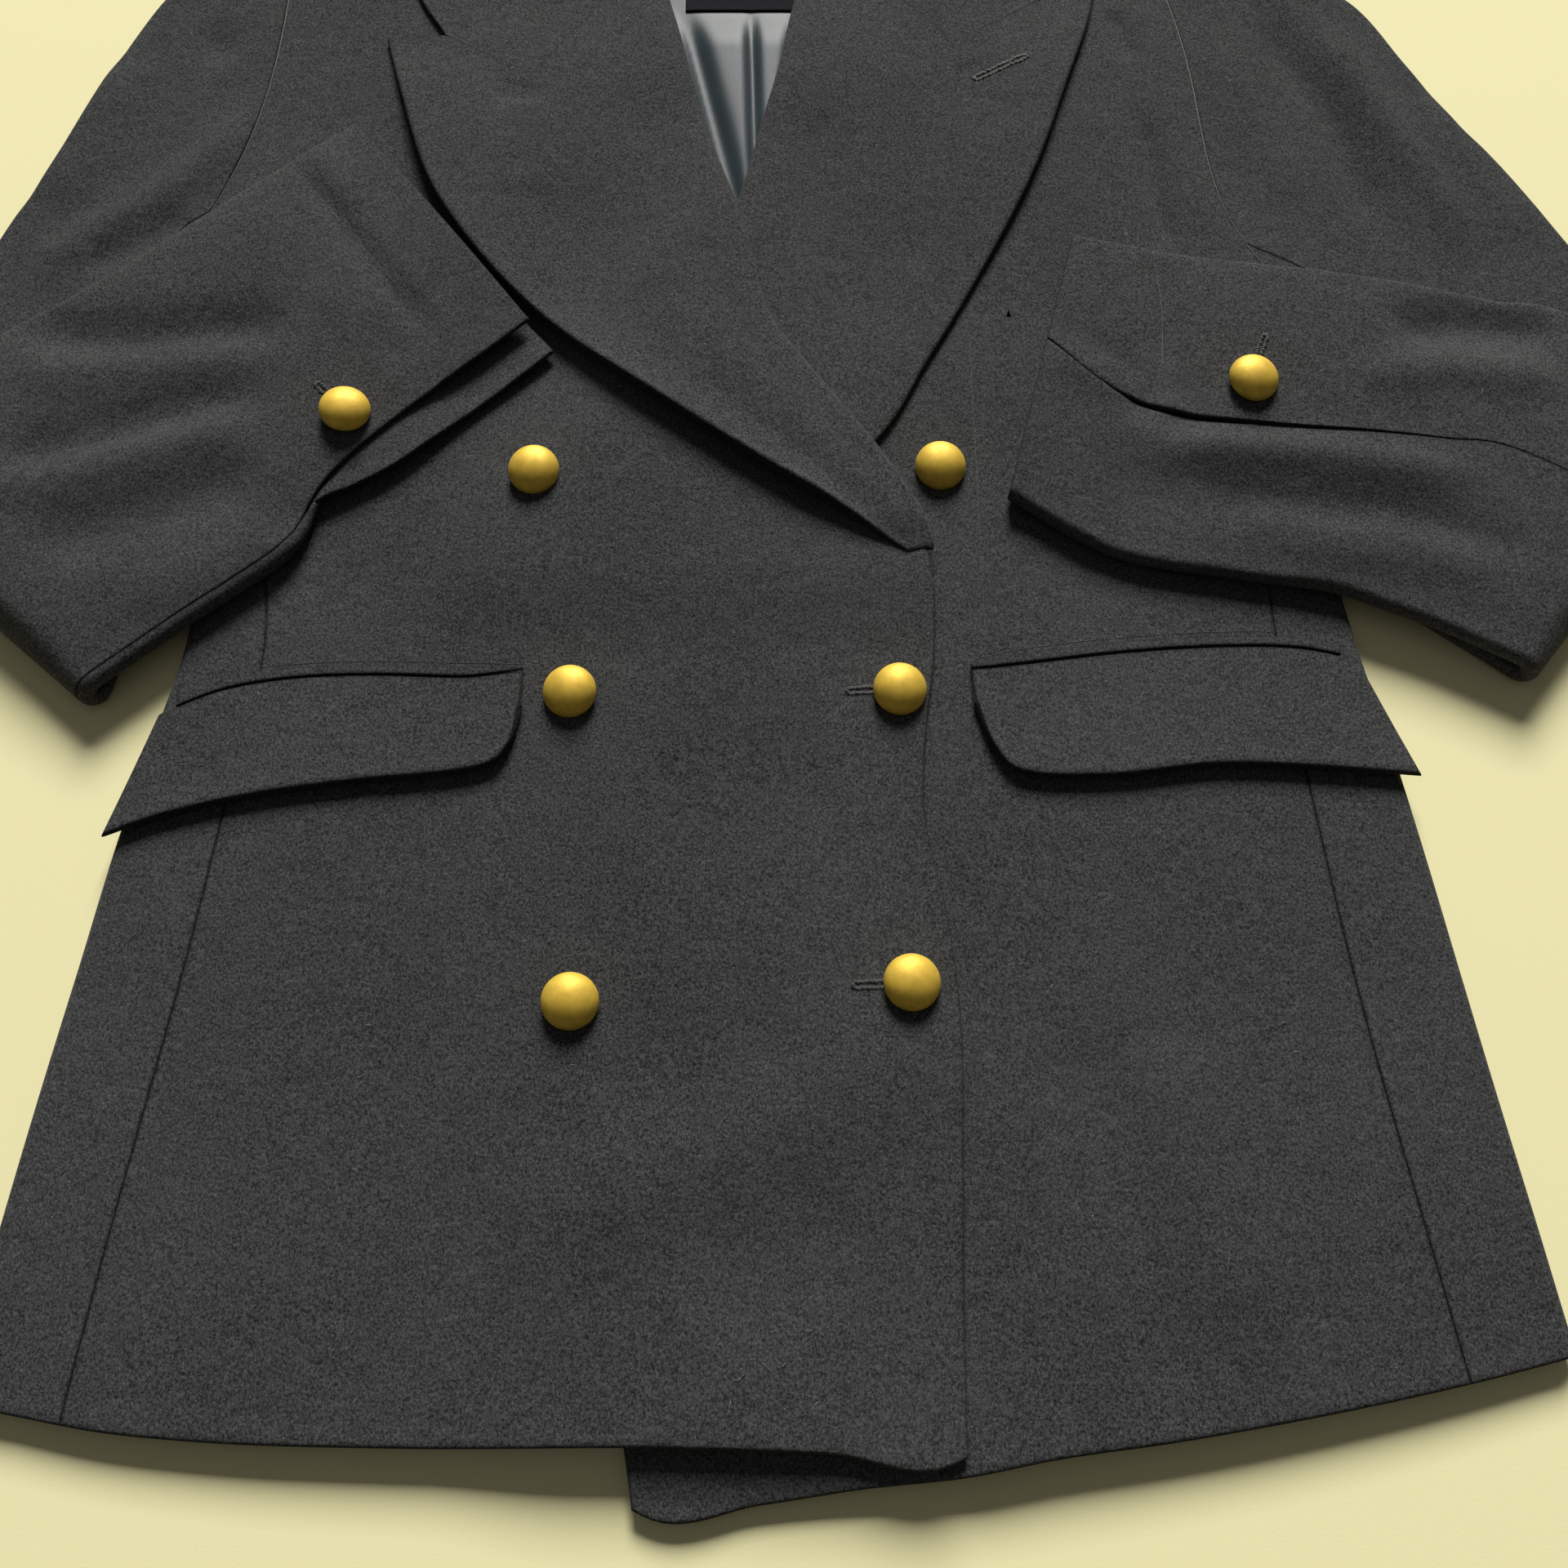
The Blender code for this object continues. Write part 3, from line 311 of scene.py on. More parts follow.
# Creases: the line of each, its half width and its height, below nought for a trough
CREASES = {
    "body": (
        ((166, 169, 173), (657, 640, 621), 4.5, -2.0),
        ((175, 176, 180), (590, 546, 500), 4.5, -2.8),
        ((188, 190, 196), (613, 566, 512), 7, 1.6),
        ((68, 13, -31, -77, -112), (139, 108, 89, 72, 46), 24, 2.2),
        ((12, -30, -69), (133, 118, 102), 24, -1.2),
        ((30, 0, -35), (70, 53, 36), 26, -1.4),
        ((-240, -236, -243, -246), (211, 154, 86, 30), 14, 1.2),
        ((111, 126, 136, 145), (142, 72, 24, -6), 18, -2.2),
        ((137, 152, 166), (136, 72, 24), 20, 1.6),
        ((86, 86, 84), (470, 390, 310), 6, 0.8),
        ((-65, -20, 26), (222, 236, 247), 30, -1.0),
        ((-223, -164, -109), (366, 310, 295), 25, -0.8),
    ),
    "lapel_right": (
        ((-68, -74, -98), (610, 568, 490), 26, -1.2),
        ((-135, -123), (594, 529), 22, 0.8),
        ((-34, -41, -48), (505, 472, 458), 14, -0.8),
        ((-128, -133), (604, 590), 10, -0.8),
    ),
    "lapel_left": (
        ((10, 15, 30, 48), (596, 530, 478, 446), 20, -1.4),
        ((89, 99, 114), (622, 591, 575), 14, -1.0),
        ((57, 62, 65), (628, 555, 506), 20, 0.9),
    ),
    "sleeve_right": (
        ((-348, -315, -283, -251, -215), (456, 447, 447, 451, 453), 11, -5.2),
        ((-348, -314, -281, -249, -211), (431, 427, 432, 436, 439), 9, 2.6),
        ((-345, -318, -288, -259, -225), (376, 387, 398, 408, 419), 9, -4.6),
        ((-352, -320, -290, -262, -222), (362, 372, 382, 393, 405), 8, 3.4),
        ((-322, -290, -258, -222), (336, 348, 361, 378), 12, -4.4),
        ((-274, -251, -227, -213), (310, 324, 340, 352), 9, 2.2),
        ((-215, -205, -203), (369, 352, 344), 7, -1.6),
        ((-209, -191, -174), (486, 454, 432), 10, 1.2),
        ((-149, -162, -154), (486, 463, 454), 8, -0.9),
    ),
    "sleeve_left": (
        ((267, 301, 351), (451, 454, 449), 13, -5.6),
        ((249, 290, 346), (423, 430, 423), 10, 2.6),
        ((163, 163, 158), (490, 459, 430), 7, -1.3),
        ((135, 164, 201), (369, 365, 352), 14, -1.6),
        ((148, 184, 223, 261, 305), (384, 389, 386, 379, 369), 9, 3.4),
        ((207, 255, 305), (342, 340, 329), 13, 2.2),
        ((170, 209, 264, 322), (369, 363, 354, 335), 9, -2.6),
    ),
    "cuff_right": (
        ((-232, -214, -199, -184, -168, -152), (548, 527, 505, 483, 462, 446), 3.6, -2.4),
        ((-224, -196), (560, 520), 7, 0.9),
        ((-186, -170), (452, 436), 8, -1.4),
    ),
    "cuff_left": (
        ((167, 170, 170, 167), (500, 475, 445, 424), 3.2, -2.2),
        ((166, 150, 138, 128), (421, 432, 442, 452), 4, -1.0),
        ((175, 160, 146), (412, 400, 391), 8, 1.4),
        ((110, 128, 150), (436, 430, 421), 9, 1.2),
    ),
    "arm_right": (
        ((-288, -274), (642, 628), 8, -3.0),
        ((-347, -339, -319, -293, -274, -264), (481, 504, 522, 542, 563, 599), 10, 3.4),
        ((-326, -304, -282), (495, 512, 527), 7, -2.8),
        ((-329, -331, -347), (631, 568, 528), 16, 2.6),
    ),
    "arm_left": (
        ((243, 250, 265, 274, 284), (664, 626, 594, 558, 509), 10, -4.2),
        ((261, 276, 294, 312, 329), (653, 629, 583, 538, 499), 10, 3.6),
        ((220, 227, 247), (642, 589, 528), 12, 2.2),
        ((313, 329, 352), (604, 558, 509), 12, 2.2),
    ),
}
# A cuff's turned-up end is thicker from its edge to this line
CUFF_STEPS = {
    "right": ((-230, -198, -181, -151), (547, 506, 481, 445)),
    "left": ((167, 171, 165, 150, 131), (495, 462, 420, 408, 372)),
}
CUFF_STEP = 0.9
# Where along each sleeve its hind seam opens into a vent
VENTS = {"right": (10.2, 10.6), "left": (11.0, 11.4)}
# How far the under sleeve stands back from the top sleeve's edge, along the sleeve
VENT_GAPES = {
    "right": ((0, 13), (0.0, 0.0)),
    "left": ((0, 8.5, 10, 11, 11.9, 12.15, 12.3, 13), (0.0, 0.0, 0.35, 0.8, 1.0, 0.6, 0.0, 0.0)),
}
VENT_DROP = 1.9
UNDERLAP_RISE = 3.3
SLEEVE_PUFF = 4.4

# Wool: how many grains of each kind a metre holds, how the fibres lie, and how light or dark each part is
FIBRE_SCALE = 1500.0
FIBRE_TURN = 0.25
FIBRE_STRETCH = 0.6
FELT_SCALE = 850.0
MOTTLE_SCALE = 110.0
CLOUD_SCALE = 10.0
SPECK_SCALE = 2100.0
SPECK_LEVEL = 0.66
SPECK_LIGHT = 1.1
MOTTLE_SHARE = 0.30
CLOUD_SHARE = 0.5
DARKEST = 0.12
# Painted shade along the edges and seams of each piece: how much darker the wool is, and over what distance
# in metres
PAINTED_EDGE_SHADE = 0.62
PAINTED_EDGE_SHADE_WIDTH = 0.0008

# Stage, in metres: each light's size, place and colour, the room's light and the floor
KEY_LIGHT = (6.5, (0.60, 13.7, 8.6), (1.0, 0.985, 0.945))
FILL_LIGHT = (3.0, (-0.4, -0.6, 2.6), (1.0, 0.98, 0.95))
ROOM_COLOUR = (1.0, 0.98, 0.94, 1)
ROOM_STRENGTH = 0.068
FLOOR_REACH = 3.0
FLOOR_DROP = 0.0004

# Camera's focal length and sensor width, in millimetres
CAMERA_LENS = 36
CAMERA_SENSOR = 36


def ease(low, high, at):
    """Nought below low, one above high, and a smooth S between."""
    t = np.clip((at - low) / (high - low), 0, 1)
    return t * t * (3 - 2 * t)


def curve(knots, values, at):
    """A smooth line through a table's rows: cubic between rows, sloped at each as its neighbours are."""
    knots = np.asarray(knots, float)
    values = np.asarray(values, float)
    slopes = np.gradient(values, knots)
    at = np.clip(at, knots[0], knots[-1])
    i = np.clip(np.searchsorted(knots, at) - 1, 0, len(knots) - 2)
    span = knots[i + 1] - knots[i]
    t = (at - knots[i]) / span
    return (
        (2 * t**3 - 3 * t**2 + 1) * values[i]
        + (t**3 - 2 * t**2 + t) * span * slopes[i]
        + (3 * t**2 - 2 * t**3) * values[i + 1]
        + (t**3 - t**2) * span * slopes[i + 1]
    )


def front_edge(side, up):
    """X of a front's own edge, and of its roll line above the break."""
    return curve(FRONT_EDGES["up_" + side], FRONT_EDGES[side], up)


def side_fold(side, up):
    """X of the outer surface of a side fold."""
    return curve(SIDE_FOLDS["up"], SIDE_FOLDS[side], up)


def side_seam(side, up):
    """X of the seam between a front and its side panel."""
    inward = 1 if side == "right" else -1
    return side_fold(side, up) + inward * curve(SEAM_INSET["up"], SEAM_INSET["inset"], up)


def armhole(side, up):
    """X of the armhole seam: a straight line with a skewed half sine wave as its bow."""
    cut = ARMHOLES[side]
    (top_x, top_y), (low_x, low_y) = cut["shoulder"], cut["underarm"]
    t = np.clip((top_y - up) / (top_y - low_y), 0, 1)
    return top_x + (low_x - top_x) * t + cut["bow"] * np.sin(math.pi * t ** cut["skew"])


def outer_edge(side, up):
    """X of a front's outer edge: the side seam, and above the underarm the armhole."""
    above = up > ARMHOLES[side]["underarm"][1]
    return np.where(above, armhole(side, up), side_seam(side, up))


def shoulder_line(side, across):
    """Y of the shoulder seam, straight from the neck point to the shoulder point."""
    neck_x, neck_y = NECK_POINTS[side]
    end_x, end_y = ARMHOLES[side]["shoulder"]
    return neck_y + (end_y - neck_y) * (across - neck_x) / (end_x - neck_x)


def front_height(x, y):
    """Middle of one front layer: crowned across, lowered to the shoulder seam, and creased."""
    crown = CROWN * np.clip(1 - (x / CROWN_HALF_WIDTH) ** 2, 0, 1) * (1 - ease(600, 705, y))
    top = np.where(x < -30, shoulder_line("right", x), shoulder_line("left", x))
    drop = SHOULDER_DROP * ease(-SHOULDER_DROP_LENGTH, 0, y - top)
    return FRONT_MIDDLE + crown - drop + creases("body", x, y)


def left_front_height(x, y):
    """The left front lies under the right one, and droops where it passes the hem of the back."""
    back_hem = curve(HEMS["across_back"], HEMS["back"], x)
    droop = HEM_DROOP * ease(-HEM_DROOP_LENGTH * 0.3, HEM_DROOP_LENGTH, back_hem - y) * (1 - ease(-10, 90, x))
    return front_height(x, y) - droop


def right_front_height(x, y):
    """The right front rises a layer over the left front, and another over the left lapel."""
    over_front = ease(-70, -12, x - front_edge("left", y)) * (1 - ease(520, 640, y))
    over_lapel = over_front * ease(292, 334, y)
    return front_height(x, y) + LAYER * (over_front + over_lapel)


def panel_height(side, x, y):
    return right_front_height(x, y) if side == "right" else left_front_height(x, y)


def rest_height(side, x, y):
    """Top of the front that a folded sleeve rests on: the highest point within a short way across."""
    return np.max([panel_height(side, x + way, y) for way in REST_REACH], axis=0) + CLOTH / 2


def line_distance(line_x, line_y, x, y):
    """Distance from a bent line, and how far along it the nearest point lies, from nought to one."""
    near = np.full(np.shape(x), 1e6)
    place = np.zeros(np.shape(x))
    steps = np.hypot(np.diff(line_x), np.diff(line_y))
    start = np.concatenate([[0], np.cumsum(steps)])
    for i, step in enumerate(steps):
        way_x = (line_x[i + 1] - line_x[i]) / step
        way_y = (line_y[i + 1] - line_y[i]) / step
        t = np.clip((x - line_x[i]) * way_x + (y - line_y[i]) * way_y, 0, step)
        far = np.hypot(x - line_x[i] - t * way_x, y - line_y[i] - t * way_y)
        place = np.where(far < near, start[i] + t, place)
        near = np.minimum(near, far)
    return near, place / start[-1]


def creases(name, x, y):
    """Sum of a piece's creases: a bell curve of the distance to each line, faded towards the line's ends."""
    rise = np.zeros(np.shape(x))
    for line_x, line_y, width, height in CREASES[name]:
        near, place = line_distance(line_x, line_y, x, y)
        fade = ease(-0.02, 0.22, place) * (1 - ease(0.78, 1.02, place))
        rise = rise + height * fade * np.exp(-((near / width) ** 2))
    return rise


def stations(count, start=0.0, end=1.0):
    return np.linspace(start, end, count)


def edged(step, length, cloth=CLOTH):
    """Places from 0 to 1 along a piece of that length, closer at both ends for its round edges."""
    near = cloth / 2 * np.array(EDGE_PLACES) / length
    middle = stations(max(int(length / step), 3), 2.4 * near[-1], 1 - 2.4 * near[-1])
    return np.concatenate([near, middle, 1 - near[::-1]])


def lengths(grid, axis):
    """Distance along the rows or the columns of a grid from its first point."""
    steps = np.linalg.norm(np.diff(grid, axis=axis), axis=2)
    zero = np.zeros_like(np.take(steps, [0], axis=axis))
    return np.concatenate([zero, np.cumsum(steps, axis=axis)], axis=axis)


def new_piece(name, points, faces, finish):
    """A smooth mesh object at the origin, from its points in metres, its faces and its finish."""
    mesh = bpy.data.meshes.new(name)
    mesh.from_pydata(points.tolist(), [], faces)
    mesh.shade_smooth()
    mesh.materials.append(bpy.data.materials[finish])
    piece = bpy.data.objects.new(name, mesh)
    bpy.context.scene.collection.objects.link(piece)
    return piece


def grid_quads(index, order=(0, 1, 2, 3)):
    """A quad between each four neighbours in a grid of point numbers, with its corners in that order."""
    corners = (index[:-1, :-1], index[:-1, 1:], index[1:, 1:], index[1:, :-1])
    return np.stack([corners[k] for k in order], axis=-1).reshape(-1, 4)


def tube_quads(index):
    """Quads round one or more tubes, from the numbers of their points, ring by ring."""
    after = np.roll(index, -1, axis=-1)
    corners = (index[..., :-1, :], after[..., :-1, :], after[..., 1:, :], index[..., 1:, :])
    return np.stack(corners, axis=-1).reshape(-1, 4)


def shell(name, grid, cloth, finish, sewn=(0, 0, 0, 0)):
    """A cloth wall about a surface: two copies, half the cloth to either side, that meet in round edges.

    Near a border at distance d, half the wall is h sqrt(1 - (1 - d / r)^2), with h half the cloth. The
    radius r is h at a free edge and small at a sewn one, and sewn says how far each border is sewn: the
    first row, the last row, the first column and the last column. A free edge swells a little, as a
    bell curve of the distance from a line one edge width inside it.
    """
    rows, columns = grid.shape[:2]
    normal = np.cross(np.gradient(grid, axis=1), np.gradient(grid, axis=0))
    normal /= np.maximum(np.linalg.norm(normal, axis=2), 1e-6)[..., None]
    down, across = lengths(grid, 0), lengths(grid, 1)
    half = cloth / 2
    borders = np.stack([down, down[-1:] - down, across, across[:, -1:] - across])
    rounds = [np.zeros((rows, columns)) + half + (SEAM_ROUND - half) * np.asarray(share) for share in sewn]
    border = (borders / np.stack(rounds)).min(axis=0)
    wall = half * np.sqrt(1 - np.clip(1 - border, 0, 1) ** 2)
    border = borders.min(axis=0)
    shares = np.stack([np.zeros((rows, columns)) + share for share in sewn])
    free = (borders + SEWN_AWAY * shares).min(axis=0)
    wall = wall * (1 + EDGE_SWELL * np.exp(-((free / EDGE_WIDTH - 1) ** 2) * 2))
    inside = np.zeros((rows, columns), bool)
    inside[1:-1, 1:-1] = True
    upper = (grid + normal * wall[..., None]).reshape(-1, 3)
    lower = (grid - normal * wall[..., None])[inside]
    points = (np.concatenate([upper, lower]) - (CENTRE_X, CENTRE_Y, 0)) * MM
    top = np.arange(rows * columns).reshape(rows, columns)
    bottom = top.copy()
    bottom[inside] = rows * columns + np.arange(inside.sum())
    faces = np.concatenate([grid_quads(top), grid_quads(bottom, (0, 3, 2, 1))])
    piece = new_piece(name, points, faces.tolist(), finish)
    mesh = piece.data
    place = np.stack([across, down], axis=-1) * MM
    place = np.concatenate([place.reshape(-1, 2), place[inside]])
    layer = mesh.uv_layers.new(name="cut")
    layer.data.foreach_set("uv", place[faces.ravel()].ravel())
    near = np.concatenate([border.ravel(), border[inside]]) * MM
    mesh.attributes.new("border", "FLOAT", "POINT").data.foreach_set("value", near.astype(np.float32))
    return piece


def dress(piece, node):
    """Puts a piece on the one body in place of its node."""
    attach(piece, "root")
    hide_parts(node)


def front_grid(side, step):
    """A front from its edge and roll line out to the side seam and the armhole, and from hem to shoulder."""
    inward = 1 if side == "right" else -1
    low_side = float(curve(HEMS["across_" + side], HEMS[side], outer_edge(side, 10.0)))
    high_side = ARMHOLES[side]["shoulder"][1]
    up = edged(step, high_side - low_side)[:, None]
    low_edge = float(front_edge(side, HEMS[side][-1] if side == "right" else HEMS[side][0]))
    low_out = float(outer_edge(side, 10.0))
    out = edged(step, abs(low_out - low_edge))[None, :]
    neck_x, _ = NECK_POINTS[side]
    end_x, _ = ARMHOLES[side]["shoulder"]
    low_x = low_edge + (low_out - low_edge) * out
    low_y = curve(HEMS["across_" + side], HEMS[side], low_x)
    high_y = shoulder_line(side, neck_x + (end_x - neck_x) * out) - SEAM_GAP
    y = low_y + (high_y - low_y) * up
    inner = front_edge(side, y) - inward * ROLL_GAP
    outer = outer_edge(side, y)
    x = inner + (outer - inner) * out
    return np.stack([x, y, panel_height(side, x, y)], axis=-1)


def side_panel_grid(side, step):
    """A side panel: from its seam on the front, round the fold, to its seam on the back."""
    inward = 1 if side == "right" else -1
    top = ARMHOLES[side]["underarm"][1] - SIDE_TOP_GAP - CLOTH
    face = edged(step, 36)[None, :]
    turn = stations(13, 0, math.pi)[None, 1:-1]
    low_inset = SEAM_INSET["inset"][0]
    low_inside = np.concatenate([low_inset + (SIDE_BEND - low_inset) * face, 0 * turn, 0 * face], axis=1)
    hem = curve(HEMS["across_" + side], HEMS[side], side_fold(side, 10.0) + inward * low_inside)
    y = hem + (top - hem) * edged(step, top)[:, None]
    count = face.shape[1]
    inset = curve(SEAM_INSET["up"], SEAM_INSET["inset"], y)
    fold = side_fold(side, y)
    high = panel_height(side, fold + inward * SIDE_BEND, y)
    radius = (high - BACK_MIDDLE) / 2
    start = inset[:, :count]
    above = start + (SIDE_BEND - start) * face
    below = SIDE_BEND + (BACK_SEAM_INSET - SEAM_GAP - SIDE_BEND) * face + 0 * above
    bent = slice(count, -count)
    round_fold = SIDE_BEND - radius[:, bent] * np.sin(turn)
    inside = np.concatenate([above, round_fold, below], axis=1)
    x = fold + inward * inside
    height = np.concatenate(
        [
            panel_height(side, x[:, :count], y[:, :count]),
            BACK_MIDDLE + radius[:, bent] * (1 + np.cos(turn)),
            BACK_MIDDLE + 0 * below,
        ],
        axis=1,
    )
    return np.stack([x, y, height], axis=-1)


def back_grid(step):
    """The back, flat on the surface, from its hem to the shoulder seams and the neck."""
    across = edged(step, 530)[None, :]
    up = edged(step, 700)[:, None]
    low_x = BACK_HEM_ENDS[0] + (BACK_HEM_ENDS[1] - BACK_HEM_ENDS[0]) * across
    low_y = curve(HEMS["across_back"], HEMS["back"], low_x)
    right_end = ARMHOLES["right"]["shoulder"][0]
    left_end = ARMHOLES["left"]["shoulder"][0]
    high_x = right_end + (left_end - right_end) * across
    right_neck, left_neck = NECK_POINTS["right"], NECK_POINTS["left"]
    over = np.clip((high_x - right_neck[0]) / (left_neck[0] - right_neck[0]), 0, 1)
    neck_y = right_neck[1] + (left_neck[1] - right_neck[1]) * over
    neck_y = neck_y - BACK_NECK_DEPTH * np.sin(math.pi * over)
    shoulders = np.where(over <= 0, shoulder_line("right", high_x), shoulder_line("left", high_x))
    high_y = np.where((over > 0) & (over < 1), neck_y, shoulders) - SEAM_GAP
    y = low_y + (high_y - low_y) * up
    edges = {}
    for side, inward in (("right", 1), ("left", -1)):
        body = side_fold(side, y) + inward * (BACK_SEAM_INSET + SEAM_GAP)
        arm_y = ARMHOLES[side]["underarm"][1]
        arm = armhole(side, y) + inward * SEAM_GAP
        blend = body + (arm - body) * ease(arm_y - 2, arm_y + ARM_BLEND, y)
        edges[side] = np.where(y > arm_y + ARM_BLEND, arm, blend)
    x = edges["right"] + (edges["left"] - edges["right"]) * across
    return np.stack([x, y, BACK_MIDDLE + 0 * x], axis=-1)


def lapel_grid(side, step):
    """A lapel turned back over its front, from its roll out to the peak, cut along the gorge seam."""
    table = LAPELS[side]
    inward = 1 if side == "right" else -1
    row = stations(len(table["roll_up"]), 0, 1)
    up = edged(step, 380)[:, None]
    roll_y = curve(row, table["roll_up"], up)
    edge = np.stack([curve(row, table["edge_x"], up), curve(row, table["edge_y"], up)], axis=-1)
    roll = np.stack([front_edge(side, roll_y), roll_y], axis=-1)
    turn = stations(11, 0, math.pi)[:-1]
    out = 0.05 + 0.95 * edged(step, 130)[EDGE_COUNT:]
    bend_out = np.concatenate([0 * turn, out])[None, :, None]
    place = roll + (edge - roll) * bend_out
    top = np.stack([np.interp(out, SEAM_STATIONS, table[axis]) for axis in ("seam_x", "seam_y")], axis=-1)
    pull = ease(GORGE_PULL, 1.0, up)[:, :, None]
    place[:, len(turn):] += pull * (top[None] - place[-1:, len(turn):])
    beyond = np.concatenate([ROLL_RADIUS * np.sin(turn), 0 * out])
    grown = ease(-0.01, 0.08, up)
    rolled = np.concatenate([0.5 - 0.5 * np.cos(turn), 1 + 0 * out]) * grown
    x = place[..., 0] + inward * (beyond * grown + ROLL_GAP * (bend_out[..., 0] == 0))
    y = place[..., 1]
    across = bend_out[..., 0]
    free = ease(0.0, 0.16, up) * (1 - ease(0.80, 1.0, up))
    buried = 1 if side == "right" else ease(500, 560, roll_y)
    crown = (1 - np.cos(2 * math.pi * np.clip(across / 0.7, 0, 1))) / 2
    rise = LAPEL_ROLL_RISE[side] * crown * ease(0, 0.2, up) * buried
    lift = LAPEL_EDGE_LIFT[side] * across**3 * free * buried
    z = panel_height(side, x, y) + LAYER * rolled + rise + lift
    z = z + creases("lapel_" + side, x, y) * rolled
    return np.stack([x, y, z], axis=-1)


def collar_grid(step):
    """The collar: its ends follow the gorge seams, and behind the neck it rises and falls over."""
    row = stations(len(COLLAR["inner_x"]))
    round_neck = edged(step, 420)[:, None]
    out = edged(step * 0.7, 80)[None, :]
    points = []
    for axis in ("x", "y"):
        inner = curve(row, COLLAR["inner_" + axis], round_neck)
        outer = curve(row, COLLAR["outer_" + axis], round_neck)
        points.append(inner + (outer - inner) * out)
    x, y = points
    ends = (
        ("right", 0, 1 - ease(0, GORGE_SHARE, round_neck)),
        ("left", -1, ease(1 - GORGE_SHARE, 1, round_neck)),
    )
    for side, end, pull in ends:
        table = LAPELS[side]
        reach = out[0] * SEAM_STATIONS[-2]
        seam_x = np.interp(reach, SEAM_STATIONS, table["seam_x"])
        seam_y = np.interp(reach, SEAM_STATIONS, table["seam_y"]) + 3 * SEAM_GAP
        x = x + pull * (seam_x - x[end])
        y = y + pull * (seam_y - y[end])
    rise = curve(row, COLLAR["rise"], round_neck)
    over = front_height(x, y) + LAYER
    beyond = ease(-10, 30, y - np.where(x < -30, shoulder_line("right", x), shoulder_line("left", x)))
    behind = ease(0, 3, rise)
    z = over * (1 - behind * beyond) + behind * beyond * (BACK_MIDDLE + COLLAR_BACK_GAP)
    z = z + rise * np.sin(math.pi * np.clip(out / 0.62, 0, 1)) ** 1.3
    return np.stack([x, y, z], axis=-1)


def sleeve_rows(side, upper_count, turn_count, lower_count):
    """A sleeve's sections: its two edges, turn about the elbow fold, and place along it from 0 to 13."""
    table = SLEEVES[side]
    last = len(table["upper_hind"]) - 1
    along_upper = last * edged(330 / upper_count, 330)[:-EDGE_COUNT]
    along_lower = last * edged(330 / lower_count, 330)[EDGE_COUNT:]
    turns = stations(turn_count, 0, math.pi)[1:-1]
    parts = {}
    for edge in ("hind", "fore"):
        upper = np.array(table["upper_" + edge], float)
        lower = np.array(table["lower_" + edge], float)
        above = np.stack([curve(range(last + 1), upper[:, k], along_upper) for k in (0, 1)], axis=-1)
        below = np.stack([curve(range(last + 1), lower[:, k], along_lower) for k in (0, 1)], axis=-1)
        fold = np.repeat(upper[-1:], len(turns), axis=0)
        parts[edge] = np.concatenate([above, fold, below])
    turn = np.concatenate([0 * along_upper, turns, math.pi + 0 * along_lower])
    along = np.concatenate([along_upper, last + turns / math.pi, last + 1 + along_lower])
    return parts["hind"], parts["fore"], turn, along


